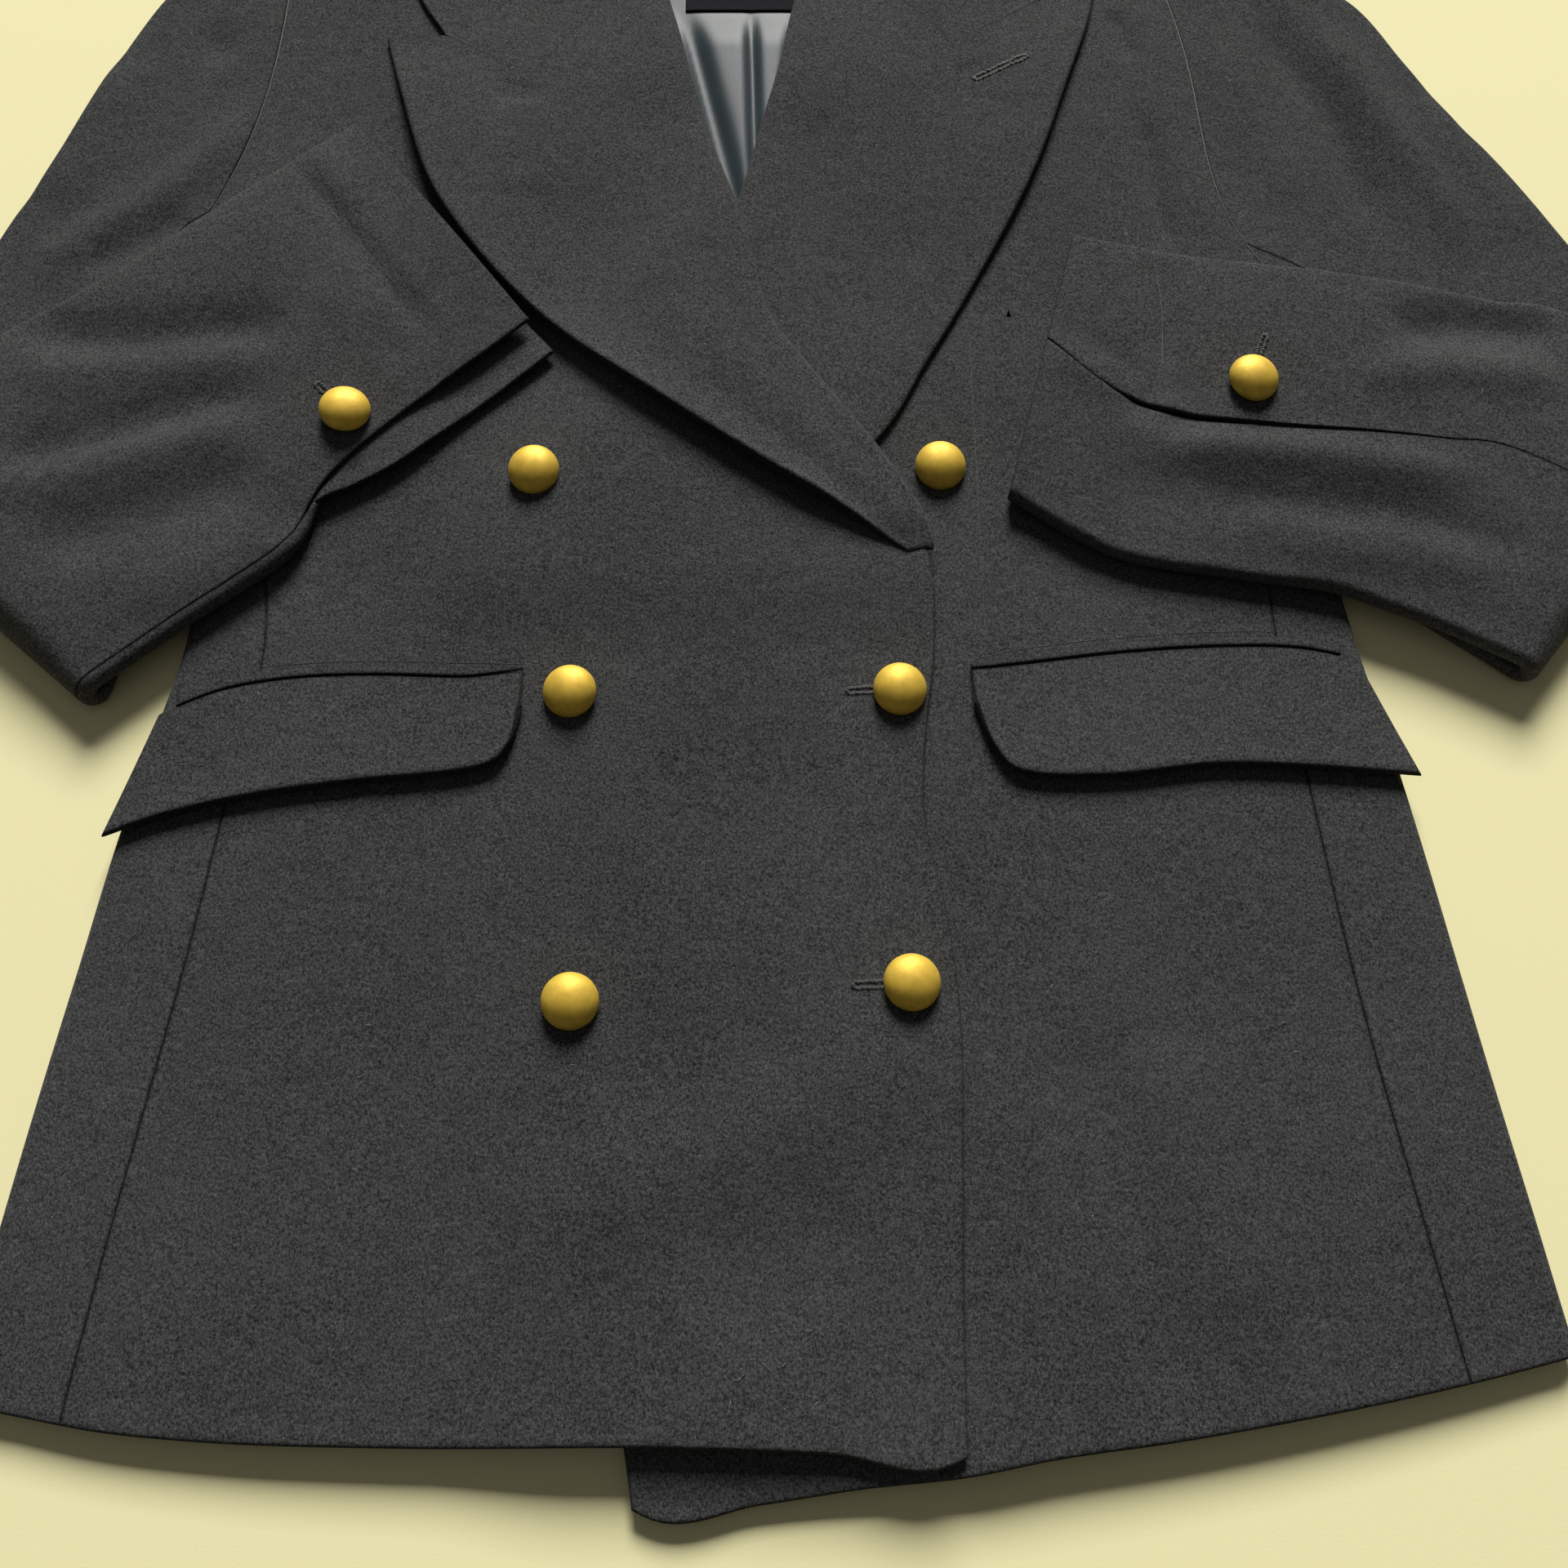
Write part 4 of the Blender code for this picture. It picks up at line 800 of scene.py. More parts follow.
def sleeve_grid(side, kind, step):
    """A top or under sleeve: part of a flat tube, folded over at the elbow and laid on what is beneath it.

    Across a section, the outward face is the one that shows once the sleeve is folded. The piece runs from
    the hind seam on that face, round the hind edge or the fore edge, to the fore seam on the inward face.
    """
    table = SLEEVES[side]
    hind, fore, turn, along = sleeve_rows(side, 300 / step, 15, 300 / step)
    width = np.linalg.norm(fore - hind, axis=1)[:, None]
    radius = (FRONT_MIDDLE - BACK_MIDDLE) / 2
    margin = radius + CLOTH / 2
    face_out = edged(step, 75)[None, :-EDGE_COUNT]
    face_in = edged(step, 75)[None, EDGE_COUNT:]
    bend = stations(11, 0, math.pi)[None, :]
    sign = -1 if kind == "top" else 1
    edge = margin if kind == "top" else width - margin
    seam_out = width * curve(*table["hind_seam"], along)[:, None]
    seam_out = np.clip(seam_out, margin, width - margin - 1)
    seam_start, seam_end = table["fore_seam"]
    seam_in = width * (seam_start + (seam_end - seam_start) * ease(2.6, 5.4, along)[:, None])
    outward = seam_out + (edge - seam_out) * face_out
    round_edge = edge + sign * radius * np.sin(bend) + 0 * width
    inward = edge + (seam_in - edge) * face_in
    out = np.concatenate([outward, round_edge, inward], axis=1)
    level = np.concatenate([0 * outward - 1, -np.cos(bend) + 0 * width, 0 * inward + 1], axis=1)
    vent = ease(table["vent_from"], table["vent_from"] + 0.9, along)[:, None]
    if kind == "under" and table["vent_reach"]:
        reach = table["vent_reach"] * ease(table["vent_from"], 12.0, along)[:, None]
        travelled = np.cumsum(np.abs(np.diff(out, axis=1, prepend=out[:, :1])) + 0.2, axis=1)
        part = travelled / travelled[:, -1:]
        flat = width - 1.5 + reach - (width - 1.5 + reach - seam_in) * part
        bent = outward.shape[1] + bend.shape[1]
        out = out + vent * (flat - out)
        level = level + vent * (1 - level) * (np.arange(out.shape[1])[None, :] < bent)
    gape = curve(*VENT_GAPES[side], along)[:, None] * (kind == "under") * (level < -0.5)
    from_seam = np.abs(out - seam_out)
    out = out + 0.5 * gape * np.exp(-from_seam / 6)
    across = (fore - hind) / width
    place = hind[:, None, :] + across[:, None, :] * out[..., None]
    for column in (0, -1):
        seam = np.gradient(place[:, column], axis=0)
        length = np.linalg.norm(seam, axis=1)[:, None]
        aside = np.stack([-seam[:, 1], seam[:, 0]], axis=-1) / np.maximum(length, 0.001)
        aside *= np.sign((aside * across).sum(axis=1))[:, None]
        place[:, column] += sign * SEAM_GAP * np.where(length > 0.1, aside, across)
    cut = ARMHOLES[side]
    t = np.clip(out[:1] / width[:1], 0, 1)
    bow = cut["bow"] * np.sin(math.pi * t ** cut["skew"])
    place[..., 0] += bow * (1 - ease(0, 2.2, along))[:, None]
    fold_start = np.array(table["upper_hind"][-1], float)
    fold_end = np.array(table["upper_fore"][-1], float)
    fold_line = (fold_end - fold_start) / np.linalg.norm(fold_end - fold_start)
    away = np.array((-fold_line[1], fold_line[0]))
    if away[1] > 0:
        away = -away
    flat_height = BACK_MIDDLE + radius * (1 + level)
    arm = SLEEVE_AXIS - flat_height
    place = place + away * (arm * np.sin(turn)[:, None])[..., None]
    x, y = place[..., 0], place[..., 1]
    folded = SLEEVE_AXIS - arm * np.cos(turn)[:, None]
    rest = 2 * SLEEVE_AXIS - FRONT_MIDDLE - CLOTH / 2
    need = rest_height(side, x, y) + SLEEVE_REST_GAP - rest
    lift = np.maximum(need, 0) * ease(math.pi * 0.9, math.pi, turn)[:, None]
    last = len(table["upper_hind"])
    settle = ease(last, last + 1.5, along)[:, None]
    z = folded + lift * settle
    top_face = np.clip((1 + level * np.cos(turn)[:, None]) / 2, 0, 1)
    forearm = ease(math.pi * 0.8, math.pi, turn)[:, None]
    crown = 1 - np.clip(np.abs(2 * out / width - 0.9), 0, 1) ** 2.4
    puff = SLEEVE_PUFF * crown * (1 - 0.25 * ease(11.5, 13, along)[:, None])
    near, _ = line_distance(*CUFF_STEPS[side], x, y)
    cuff = CUFF_STEP * ease(0, 3, cuff_side(side, x, y) * near)
    lower = creases("sleeve_" + side, x, y) + puff + cuff
    z = z + top_face * (lower * forearm + creases("arm_" + side, x, y) * (1 - forearm))
    z = z + top_face * forearm * creases("cuff_" + side, x, y)
    z = z - VENT_DROP * gape * forearm * np.exp(-((from_seam / 9) ** 2))
    if kind == "under" and table["vent_reach"]:
        band = ease(10.4, 11.0, along) * (1 - ease(11.9, 12.6, along))
        z = z + vent * UNDERLAP_RISE * band[:, None] * (1 - ease(0.22, 0.5, part))
    vent_open = ease(*VENTS[side], along)[:, None]
    return np.stack([x, y, z], axis=-1), vent_open


def cuff_side(side, x, y):
    """One on the cuff's side of the line to which its end is turned up, and minus one beyond it."""
    line_x, line_y = CUFF_STEPS[side]
    fold_x = np.interp(y, line_y[::-1], line_x[::-1])
    return np.where((x > fold_x) == (side == "right"), 1, -1)


def flap_grid(side, step):
    """A pocket flap: from the slit down to its free edge, which stands a little off the front."""
    table = POCKETS[side]
    inward = 1 if side == "right" else -1
    row = stations(len(table["x"]))
    along = edged(step, 165)[None, :]
    down = edged(step, 48)[:, None]
    top_x, top_y = curve(row, table["x"], along), curve(row, table["slit"], along) - SLIT_GAP
    free_x, free_y = curve(row, table["free_x"], along), curve(row, table["free"], along)
    x = top_x + (free_x - top_x) * down
    y = top_y + (free_y - top_y) * down
    fold = side_fold(side, y)
    near = fold + inward * np.clip(inward * (x - fold), 0, None)
    z = panel_height(side, near, y) + LAYER + FLAP_LIFT * down**1.5
    return np.stack([x, y, z], axis=-1)


def welt_grid(side, step):
    """The narrow welt above a flap, lying on the front."""
    table = POCKETS[side]
    row = stations(len(table["x"]))
    along = 0.96 * edged(step, 150, WELT_CLOTH)[None, :]
    up = edged(step, 6, WELT_CLOTH)[:, None]
    x = curve(row, table["x"], along)
    low = curve(row, table["slit"], along) + SLIT_GAP
    high = curve(row, table["welt"], along) + WELT_RISE
    y = low + (high - low) * up
    x = x + 0 * y
    z = panel_height(side, x, y) + (CLOTH + WELT_CLOTH) / 2 + WELT_GAP
    return np.stack([x, y, z], axis=-1)


def lining_height(x, y):
    """The lining lies on the back, with soft folds running down inside the neck opening."""
    rise = 0 * x
    rows = LINING_FOLDS
    for fold_x, width, height, lean in zip(rows["x"], rows["width"], rows["height"], rows["lean"]):
        centre = fold_x + lean * (y - 600)
        rise = rise + height * np.exp(-(((x - centre) / width) ** 2))
    shown = ease(470, 520, y) * (1 - ease(635, 668, y)) * (1 - ease(20, 48, np.abs(x + 24)))
    return CLOTH + SEAM_GAP + LINING_CLOTH / 2 + np.maximum(LINING_LIFT + rise, 0) * shown


def lining_grid(step):
    box = LINING_BOX
    x = box["right"] + (box["left"] - box["right"]) * edged(step, 176, LINING_CLOTH)[None, :]
    y = box["low"] + (box["high"] - box["low"]) * edged(step, 250, LINING_CLOTH)[:, None]
    x, y = x + 0 * y, y + 0 * x
    return np.stack([x, y, lining_height(x, y)], axis=-1)


def label_grid(step):
    """A bare woven label on the lining below the back neck."""
    x = LABEL["x"][0] + (LABEL["x"][1] - LABEL["x"][0]) * edged(step, 62, LINING_CLOTH)[None, :]
    y = LABEL["y"][0] + (LABEL["y"][1] - LABEL["y"][0]) * edged(step, 30, LINING_CLOTH)[:, None]
    x, y = x + 0 * y, y + 0 * x
    return np.stack([x, y, lining_height(x, y) + LINING_CLOTH + SEAM_GAP], axis=-1)


def button_mesh(name, x, y, seat, lean, bearing):
    """A domed button: its profile carried round its axis, then leaned about the foot of its shank."""
    angle = np.radians(stations(14, 0, 90))[:-1]
    rim_turn = np.cos(np.radians(stations(5, 0, 90)))
    out = [BUTTON_RADIUS * np.sin(angle), BUTTON_RADIUS - BUTTON_EDGE + BUTTON_EDGE * rim_turn]
    up = [BUTTON_DOME * np.cos(angle) + BUTTON_RIM, BUTTON_RIM * (1 - stations(5))]
    inside = BUTTON_RADIUS - BUTTON_WALL
    foot = np.array(((inside, BUTTON_HOLLOW), (SHANK_RADIUS, BUTTON_HOLLOW), (SHANK_RADIUS, -SHANK_HEIGHT)))
    out = np.concatenate([*out, foot[:, 0]])[1:]
    up = np.concatenate([*up, foot[:, 1]])[1:] + SHANK_HEIGHT
    turn = stations(65)[:-1] * 2 * math.pi
    wide, deep = out[:, None] * np.cos(turn), out[:, None] * np.sin(turn)
    rings = np.stack([wide, deep, up[:, None] + 0 * turn], axis=-1)
    points = rings.reshape(-1, 3)
    poles = np.array(((0, 0, SHANK_HEIGHT + BUTTON_RIM + BUTTON_DOME), (0, 0, 0)))
    points = np.concatenate([points, poles])
    tip, way = math.radians(lean), math.radians(bearing)
    axis = np.array((-math.sin(way), math.cos(way), 0))
    points = (
        points * math.cos(tip)
        + np.cross(axis, points) * math.sin(tip)
        + axis * (points @ axis)[:, None] * (1 - math.cos(tip))
    )
    points = (points + (x - CENTRE_X, y - CENTRE_Y, seat + SEAM_GAP)) * MM
    count, sides = len(out), len(turn)
    ring = np.arange(count * sides).reshape(count, sides)
    after = np.roll(ring, -1, axis=1)
    quads = np.stack([ring[:-1], ring[1:], after[1:], after[:-1]], axis=-1).reshape(-1, 4)
    cap = np.stack([0 * ring[0] + count * sides, ring[0], after[0]], axis=-1)
    base = np.stack([0 * ring[-1] + count * sides + 1, after[-1], ring[-1]], axis=-1)
    return new_piece(name, points, quads.tolist() + cap.tolist() + base.tolist(), "aged_brass")


def cloth_height(carrier):
    """Height of a made piece's upper side, less half its cloth, by looking straight down on it."""
    name = carrier.replace("front_", "front_cloth_").replace("lapel_", "lapel_cloth_")
    name = name.replace("sleeve_", "sleeve_top_cloth_")
    mesh = bpy.data.objects[name].data
    corners = [v.co for v in mesh.vertices]
    tree = BVHTree.FromPolygons(corners, [p.vertices for p in mesh.polygons])

    def height(x, y):
        found = []
        for at_x, at_y in zip(np.ravel(x), np.ravel(y)):
            start = ((at_x - CENTRE_X) * MM, (at_y - CENTRE_Y) * MM, 0.1)
            hit = tree.ray_cast(start, (0, 0, -1))[0]
            found.append(hit.z / MM if hit else 0.0)
        return np.array(found).reshape(np.shape(x)) - CLOTH / 2

    return height


def purl_stitches(name, start, end, height, opening, finish, pitch):
    """Stitches round a buttonhole: short capsules that lie across its edge, spaced evenly along a long loop.

    The loop runs up one side of the slit, round its end, and down the other side. Each capsule is a ring
    profile r = R sin(angle) carried along its own short axis.
    """
    start, end = np.array(start, float), np.array(end, float)
    length = np.linalg.norm(end - start)
    along = (end - start) / length
    aside = np.array((-along[1], along[0]))
    straight = np.arange(0, length, pitch)
    turn = stations(9, -math.pi / 2, math.pi / 2)[1:-1]
    tail = math.pi + turn
    centre = np.concatenate([straight, length + 0 * turn, straight[::-1], 0 * tail])
    bearing = np.concatenate([0 * straight - math.pi / 2, turn, 0 * straight + math.pi / 2, tail])
    out = np.stack([np.cos(bearing), np.sin(bearing)], axis=-1)
    side = out[:, :1] * along + out[:, 1:] * aside
    chance = np.random.default_rng(len(name))
    gape = opening * (0.2 + 1.2 * np.clip(centre / length, 0, 1))[:, None]
    rough = chance.uniform(-0.25, 0.25, (len(centre), 1))
    middle = start + centre[:, None] * along + side * (STITCH_REACH / 2 + 0.2 + gape + rough)
    angle = stations(6, 0, math.pi)
    ring = stations(7)[:-1] * 2 * math.pi
    length_wise = -np.cos(angle) * STITCH_REACH / 2
    radius = STITCH_RADIUS * np.sin(angle)
    x = middle[:, None, None, 0] + side[:, None, None, 0] * length_wise[:, None]
    y = middle[:, None, None, 1] + side[:, None, None, 1] * length_wise[:, None]
    across = np.stack([-side[:, 1], side[:, 0]], axis=-1)[:, None, None, :]
    round_it = (radius[:, None] * np.cos(ring))[None, ..., None] * across
    x, y = x + round_it[..., 0], y + round_it[..., 1]
    proud = chance.uniform(-0.15, 0.35, (len(centre), 1, 1))
    z = height(x, y) + CLOTH / 2 + proud + radius[:, None] * np.sin(ring)
    points = (np.stack([x, y, z], axis=-1).reshape(-1, 3) - (CENTRE_X, CENTRE_Y, 0)) * MM
    index = np.arange(len(points)).reshape(len(middle), len(angle), len(ring))
    piece = new_piece(name, points, tube_quads(index).tolist(), finish)
    weld = piece.modifiers.new("closed ends", "WELD")
    weld.merge_threshold = 0.00001
    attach(piece, "root")


def sewn_line(name, height, line_x, line_y, radius):
    """A thread half sunk in the nap: a six-sided tube along a smooth line through a few points."""
    knots = np.arange(len(line_x), dtype=float)
    at = np.linspace(0, knots[-1], int(np.hypot(np.diff(line_x), np.diff(line_y)).sum() / LINE_PITCH) + 2)
    x, y = curve(knots, line_x, at), curve(knots, line_y, at)
    way = np.stack([np.gradient(x), np.gradient(y)], axis=-1)
    way /= np.linalg.norm(way, axis=1)[:, None]
    ring = stations(7)[:-1] * 2 * math.pi
    out = radius * np.cos(ring)
    place_x = x[:, None] - way[:, 1:] * out
    place_y = y[:, None] + way[:, :1] * out
    rise = (height(x, y) + CLOTH / 2)[:, None] + radius * np.sin(ring)
    points = np.stack([place_x, place_y, rise], axis=-1).reshape(-1, 3) - (CENTRE_X, CENTRE_Y, 0)
    index = np.arange(len(points)).reshape(len(x), len(ring))
    ends = [index[0, ::-1].tolist(), index[-1].tolist()]
    # Painted shade: the near-black seam thread stands in for the shade in the seam's groove as well as for
    # the thread
    piece = new_piece(name, points * MM, tube_quads(index).tolist() + ends, "seam_thread_and_painted_shade")
    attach(piece, "root")


def lint(name, height, centre, spread, count, seed):
    """Stray fibres: thin tubes along arcs, each with its own place, bearing, bend and length.

    A fibre's bearing turns evenly from its start to its end, and the tube round it has four sides.
    """
    chance = np.random.default_rng(seed)
    along = stations(9)[None, :]
    start = np.array(centre) + np.array(spread) * chance.uniform(-1, 1, (count, 2))
    bearing = chance.uniform(0, 2 * math.pi, (count, 1)) + chance.uniform(-2.2, 2.2, (count, 1)) * along
    stride = chance.uniform(1.8, 5.5, (count, 1)) / along.size
    x = start[:, :1] + np.cumsum(stride * np.cos(bearing), axis=1)
    y = start[:, 1:] + np.cumsum(stride * np.sin(bearing), axis=1)
    z = height(x, y) + CLOTH / 2 + 0.15 + 0.5 * np.sin(math.pi * along)
    ring = stations(5)[:-1] * 2 * math.pi
    aside = np.stack([-np.sin(bearing), np.cos(bearing)], axis=-1)[:, :, None, :] * LINT_RADIUS
    place = np.stack([x, y], axis=-1)[:, :, None, :] + aside * np.cos(ring)[:, None]
    rise = z[:, :, None] + LINT_RADIUS * np.sin(ring)
    points = np.concatenate([place, rise[..., None]], axis=-1).reshape(-1, 3) - (CENTRE_X, CENTRE_Y, 0)
    index = np.arange(len(points)).reshape(count, along.size, len(ring))
    ends = np.concatenate([index[:, 0, ::-1], index[:, -1]])
    piece = new_piece(name, points * MM, tube_quads(index).tolist() + ends.tolist(), "pale_fibre")
    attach(piece, "root")


class Nodes:
    """Adds shader nodes to a material and links them."""

    def __init__(self, name, roughness, **sockets):
        self.material = bpy.data.materials.new(name)
        self.material.use_nodes = True
        self.tree = self.material.node_tree
        self.shader = self.tree.nodes["Principled BSDF"]
        self.shader.inputs["Roughness"].default_value = roughness
        for socket, value in sockets.items():
            self.shader.inputs[socket.replace("_", " ")].default_value = value

    def add(self, kind, inputs=None, **settings):
        node = self.tree.nodes.new("ShaderNode" + kind)
        for setting, value in settings.items():
            setattr(node, setting, value)
        for socket, value in (inputs or {}).items():
            self.put(node.inputs[socket], value)
        return node

    def put(self, socket, value):
        if isinstance(value, bpy.types.NodeSocket):
            self.tree.links.new(value, socket)
        else:
            socket.default_value = value

    def maths(self, operation, *values):
        node = self.add("Math", operation=operation)
        for socket, value in zip(node.inputs, values):
            self.put(socket, value)
        return node.outputs[0]

    def noise(self, vector, scale, detail=2.0, roughness=0.5, distortion=0.0):
        inputs = {"Vector": vector, "Scale": scale, "Detail": detail, "Roughness": roughness}
        return self.add("TexNoise", {**inputs, "Distortion": distortion}).outputs["Fac"]

    def mix(self, amount, first, second, blend="MIX"):
        node = self.add("Mix", data_type="RGBA", blend_type=blend)
        self.put(node.inputs["Factor"], amount)
        self.put(node.inputs[6], first)
        self.put(node.inputs[7], second)
        return node.outputs[2]

    def attribute(self, name):
        return self.add("Attribute", attribute_name=name).outputs["Fac"]

    def bump(self, height, distance, normal=None):
        node = self.add("Bump", {"Height": height, "Distance": distance, "Strength": 1.0})
        if normal is not None:
            self.put(node.inputs["Normal"], normal)
        return node.outputs["Normal"]

    def tint(self, colour, shade):
        """A colour made darker or lighter by a shade."""
        value = self.add("CombineXYZ", {"X": shade, "Y": shade, "Z": shade}).outputs[0]
        return self.mix(1.0, (*colour, 1), value, "MULTIPLY")

    def finish(self, colour, normal):
        self.put(self.shader.inputs["Base Color"], colour)
        self.put(self.shader.inputs["Normal"], normal)
        return self.material


def make_wool(cloth):
    """Brushed wool: a felted grain, short fibres, light specks and soft clouds, with painted shade along each
    edge and seam.
    """
    n = Nodes("brushed_wool", 0.95, Sheen_Weight=0.05, Sheen_Roughness=0.45, IOR=1.4)
    n.shader.inputs["Sheen Tint"].default_value = (1.0, 0.99, 0.97, 1)
    n.shader.inputs["Specular IOR Level"].default_value = 0.08
    place = n.add("TexCoord").outputs["Object"]
    turned = {"Vector": place, "Rotation": (0, 0, FIBRE_TURN), "Scale": (1.0, FIBRE_STRETCH, 1.0)}
    fibres = n.noise(n.add("Mapping", turned).outputs[0], FIBRE_SCALE, 3.0, 0.7, 0.4)
    felt = n.noise(place, FELT_SCALE, 3.0, 0.7)
    mottle = n.noise(place, MOTTLE_SCALE, 3.0, 0.6)
    clouds = n.noise(place, CLOUD_SCALE, 3.0, 0.5)
    grain = n.maths("ADD", n.maths("MULTIPLY", fibres, 0.55), n.maths("MULTIPLY", felt, 0.45))
    spread = {"From Min": 0.41, "From Max": 0.61, "To Min": 0.34, "To Max": 1.66}
    bright = n.add("MapRange", {"Value": grain, **spread})
    patches = n.maths("MULTIPLY", n.maths("SUBTRACT", mottle, 0.5), MOTTLE_SHARE)
    shade = n.maths("ADD", bright.outputs[0], patches)
    shade = n.maths("ADD", shade, n.maths("MULTIPLY", n.maths("SUBTRACT", clouds, 0.5), CLOUD_SHARE))
    specks = n.noise(place, SPECK_SCALE, 1.0, 0.5)
    light = n.maths("MULTIPLY", n.maths("GREATER_THAN", specks, SPECK_LEVEL), SPECK_LIGHT)
    shade = n.maths("ADD", shade, light)
    shade = n.maths("MAXIMUM", shade, DARKEST)
    # Painted shade: the wool is darker within about a millimetre of each border of its piece, free edge and
    # seam alike
    rim = n.maths("DIVIDE", n.attribute("border"), PAINTED_EDGE_SHADE_WIDTH)
    rim = n.maths("EXPONENT", n.maths("MULTIPLY", n.maths("MULTIPLY", rim, rim), -1.0))
    shade = n.maths("MULTIPLY", shade, n.maths("SUBTRACT", 1.0, n.maths("MULTIPLY", rim, PAINTED_EDGE_SHADE)))
    colour = n.tint(cloth.wool_colour, shade)
    coarse = n.bump(mottle, 0.0008)
    fine = n.bump(grain, cloth.nap_depth, coarse)
    return n.finish(colour, fine)


def make_lining_satin(cloth):
    """Satin: a fine weave of raised floats over a smooth gloss."""
    n = Nodes("slate_satin", 0.40)
    cut = n.add("UVMap", uv_map="cut").outputs[0]
    threads = n.noise(n.add("Mapping", {"Vector": cut, "Scale": (1.0, 0.06, 1.0)}).outputs[0], 3800.0, 2.0)
    clouds = n.noise(cut, 40.0, 2.0)
    n.shader.inputs["Specular IOR Level"].default_value = 0.16
    shade = n.maths("ADD", 0.7, n.maths("MULTIPLY", threads, 0.3))
    shade = n.maths("ADD", shade, n.maths("MULTIPLY", clouds, 0.3))
    colour = n.tint(cloth.lining_colour, shade)
    return n.finish(colour, n.bump(threads, 0.00005))


def make_label_tape():
    """Woven tape: ribs across its width."""
    n = Nodes("woven_tape", 0.9)
    n.shader.inputs["Specular IOR Level"].default_value = 0.05
    cut = n.add("UVMap", uv_map="cut").outputs[0]
    ribs = n.noise(n.add("Mapping", {"Vector": cut, "Scale": (0.08, 1.0, 1.0)}).outputs[0], 2600.0, 1.0)
    colour = n.mix(ribs, (0.008, 0.008, 0.010, 1), (0.022, 0.022, 0.026, 1))
    return n.finish(colour, n.bump(ribs, 0.00012))


def make_brass(trim):
    """Aged brass: a matt skin with darker clouds, small specks and faint rubbing."""
    n = Nodes("aged_brass", trim.brass_roughness, Metallic=0.35)
    place = n.add("TexCoord").outputs["Object"]
    clouds = n.noise(place, 190.0, 3.0, 0.6)
    specks = n.noise(place, 2400.0, 2.0, 0.7)
    tone = n.add("MapRange", {"Value": clouds, "From Min": 0.35, "From Max": 0.7}).outputs[0]
    colour = n.mix(tone, (*trim.brass_colour, 1), [0.78 * c for c in trim.brass_colour] + [1])
    speckle = n.maths("MULTIPLY", n.maths("GREATER_THAN", specks, 0.68), 0.5)
    colour = n.mix(speckle, colour, (0.20, 0.12, 0.03, 1))
    rough = n.maths("ADD", trim.brass_roughness - 0.06, n.maths("MULTIPLY", clouds, 0.16))
    n.put(n.shader.inputs["Roughness"], rough)
    return n.finish(colour, n.bump(specks, 0.00004))


def make_thread(name, colour):
    """Twisted thread: fine oblique ribs with a slight gloss."""
    n = Nodes(name, 0.55, Sheen_Weight=0.3)
    place = n.add("TexCoord").outputs["Object"]
    twist = n.noise(place, 5200.0, 1.0)
    strands = n.noise(place, 1300.0, 2.0, 0.6)
    dark = [0.05 * c for c in colour]
    amount = n.add("MapRange", {"Value": strands, "From Min": 0.45, "From Max": 0.68}).outputs[0]
    shade = n.mix(amount, (*dark, 1), (*colour, 1))
    return n.finish(shade, n.bump(twist, 0.00008))


def make_floor(stage):
    """Plain pale paper-like surface with a faint tooth."""
    n = Nodes("pale_floor", 0.9)
    place = n.add("TexCoord").outputs["Object"]
    tooth = n.noise(place, 900.0, 2.0)
    colour = n.mix(tooth, [0.985 * c for c in stage.floor_colour] + [1], (*stage.floor_colour, 1))
    return n.finish(colour, n.bump(tooth, 0.00003))


class ClothSettings(bpy.types.PropertyGroup):
    """Sizes and colours of the wool and the lining."""

    step: FloatProperty(
        name="Grid step", description="Distance between points of a cloth piece, in millimetres",
        default=3.6, min=2.0,
    )
    nap_depth: FloatProperty(
        name="Nap depth", description="Height of the brushed fibres",
        default=0.0004, subtype="DISTANCE", unit="LENGTH",
    )
    wool_colour: FloatVectorProperty(
        name="Wool", description="Colour of the wool",
        default=(0.0515, 0.0525, 0.0540), subtype="COLOR",
    )
    lining_colour: FloatVectorProperty(
        name="Lining", description="Colour of the lining",
        default=(0.030, 0.042, 0.048), subtype="COLOR",
    )


class TrimSettings(bpy.types.PropertyGroup):
    """Finish of the buttons, the threads and the stray fibres."""

    brass_colour: FloatVectorProperty(
        name="Brass", description="Colour of the buttons",
        default=(0.90, 0.60, 0.075), subtype="COLOR",
    )
    brass_roughness: FloatProperty(
        name="Brass roughness", description="How matt the buttons are",
        default=0.56, subtype="FACTOR",
    )
    thread_colour: FloatVectorProperty(
        name="Thread", description="Colour of the buttonhole thread",
        default=(0.045, 0.048, 0.052), subtype="COLOR",
    )
    lapel_thread_colour: FloatVectorProperty(
        name="Lapel thread", description="Colour of the lapel buttonhole's thread",
        default=(0.075, 0.095, 0.085), subtype="COLOR",
    )
    # Near black: partly the thread's colour, partly painted shade in the seams
    seam_and_shade_colour: FloatVectorProperty(
        name="Seam line", description="Colour of the sewn lines",
        default=(0.008, 0.008, 0.009), subtype="COLOR",
    )
    fibre_colour: FloatVectorProperty(
        name="Stray fibre", description="Colour of the stray fibres",
        default=(0.42, 0.42, 0.40), subtype="COLOR",
    )
    stitch: FloatProperty(
        name="Stitch", description="Distance between buttonhole stitches, in millimetres",
        default=0.75,
    )


class StageSettings(bpy.types.PropertyGroup):
    """The floor, the lights and the camera."""

    floor_colour: FloatVectorProperty(
        name="Floor", description="Colour of the floor",
        default=(0.92, 0.86, 0.50), subtype="COLOR",
    )
    key_power: FloatProperty(
        name="Key light", description="Power of the light beyond the collar",
        default=4300.0, unit="POWER",
    )
    fill_power: FloatProperty(
        name="Fill light", description="Power of the overhead light",
        default=2.2, unit="POWER",
    )
    camera_height: FloatProperty(
        name="Camera height", description="Height of the camera above the floor",
        default=0.595, subtype="DISTANCE", unit="LENGTH",
    )
    camera_tilt: FloatProperty(
        name="Camera tilt", description="Angle between the camera's axis and straight down, in degrees",
        default=22.0,
    )


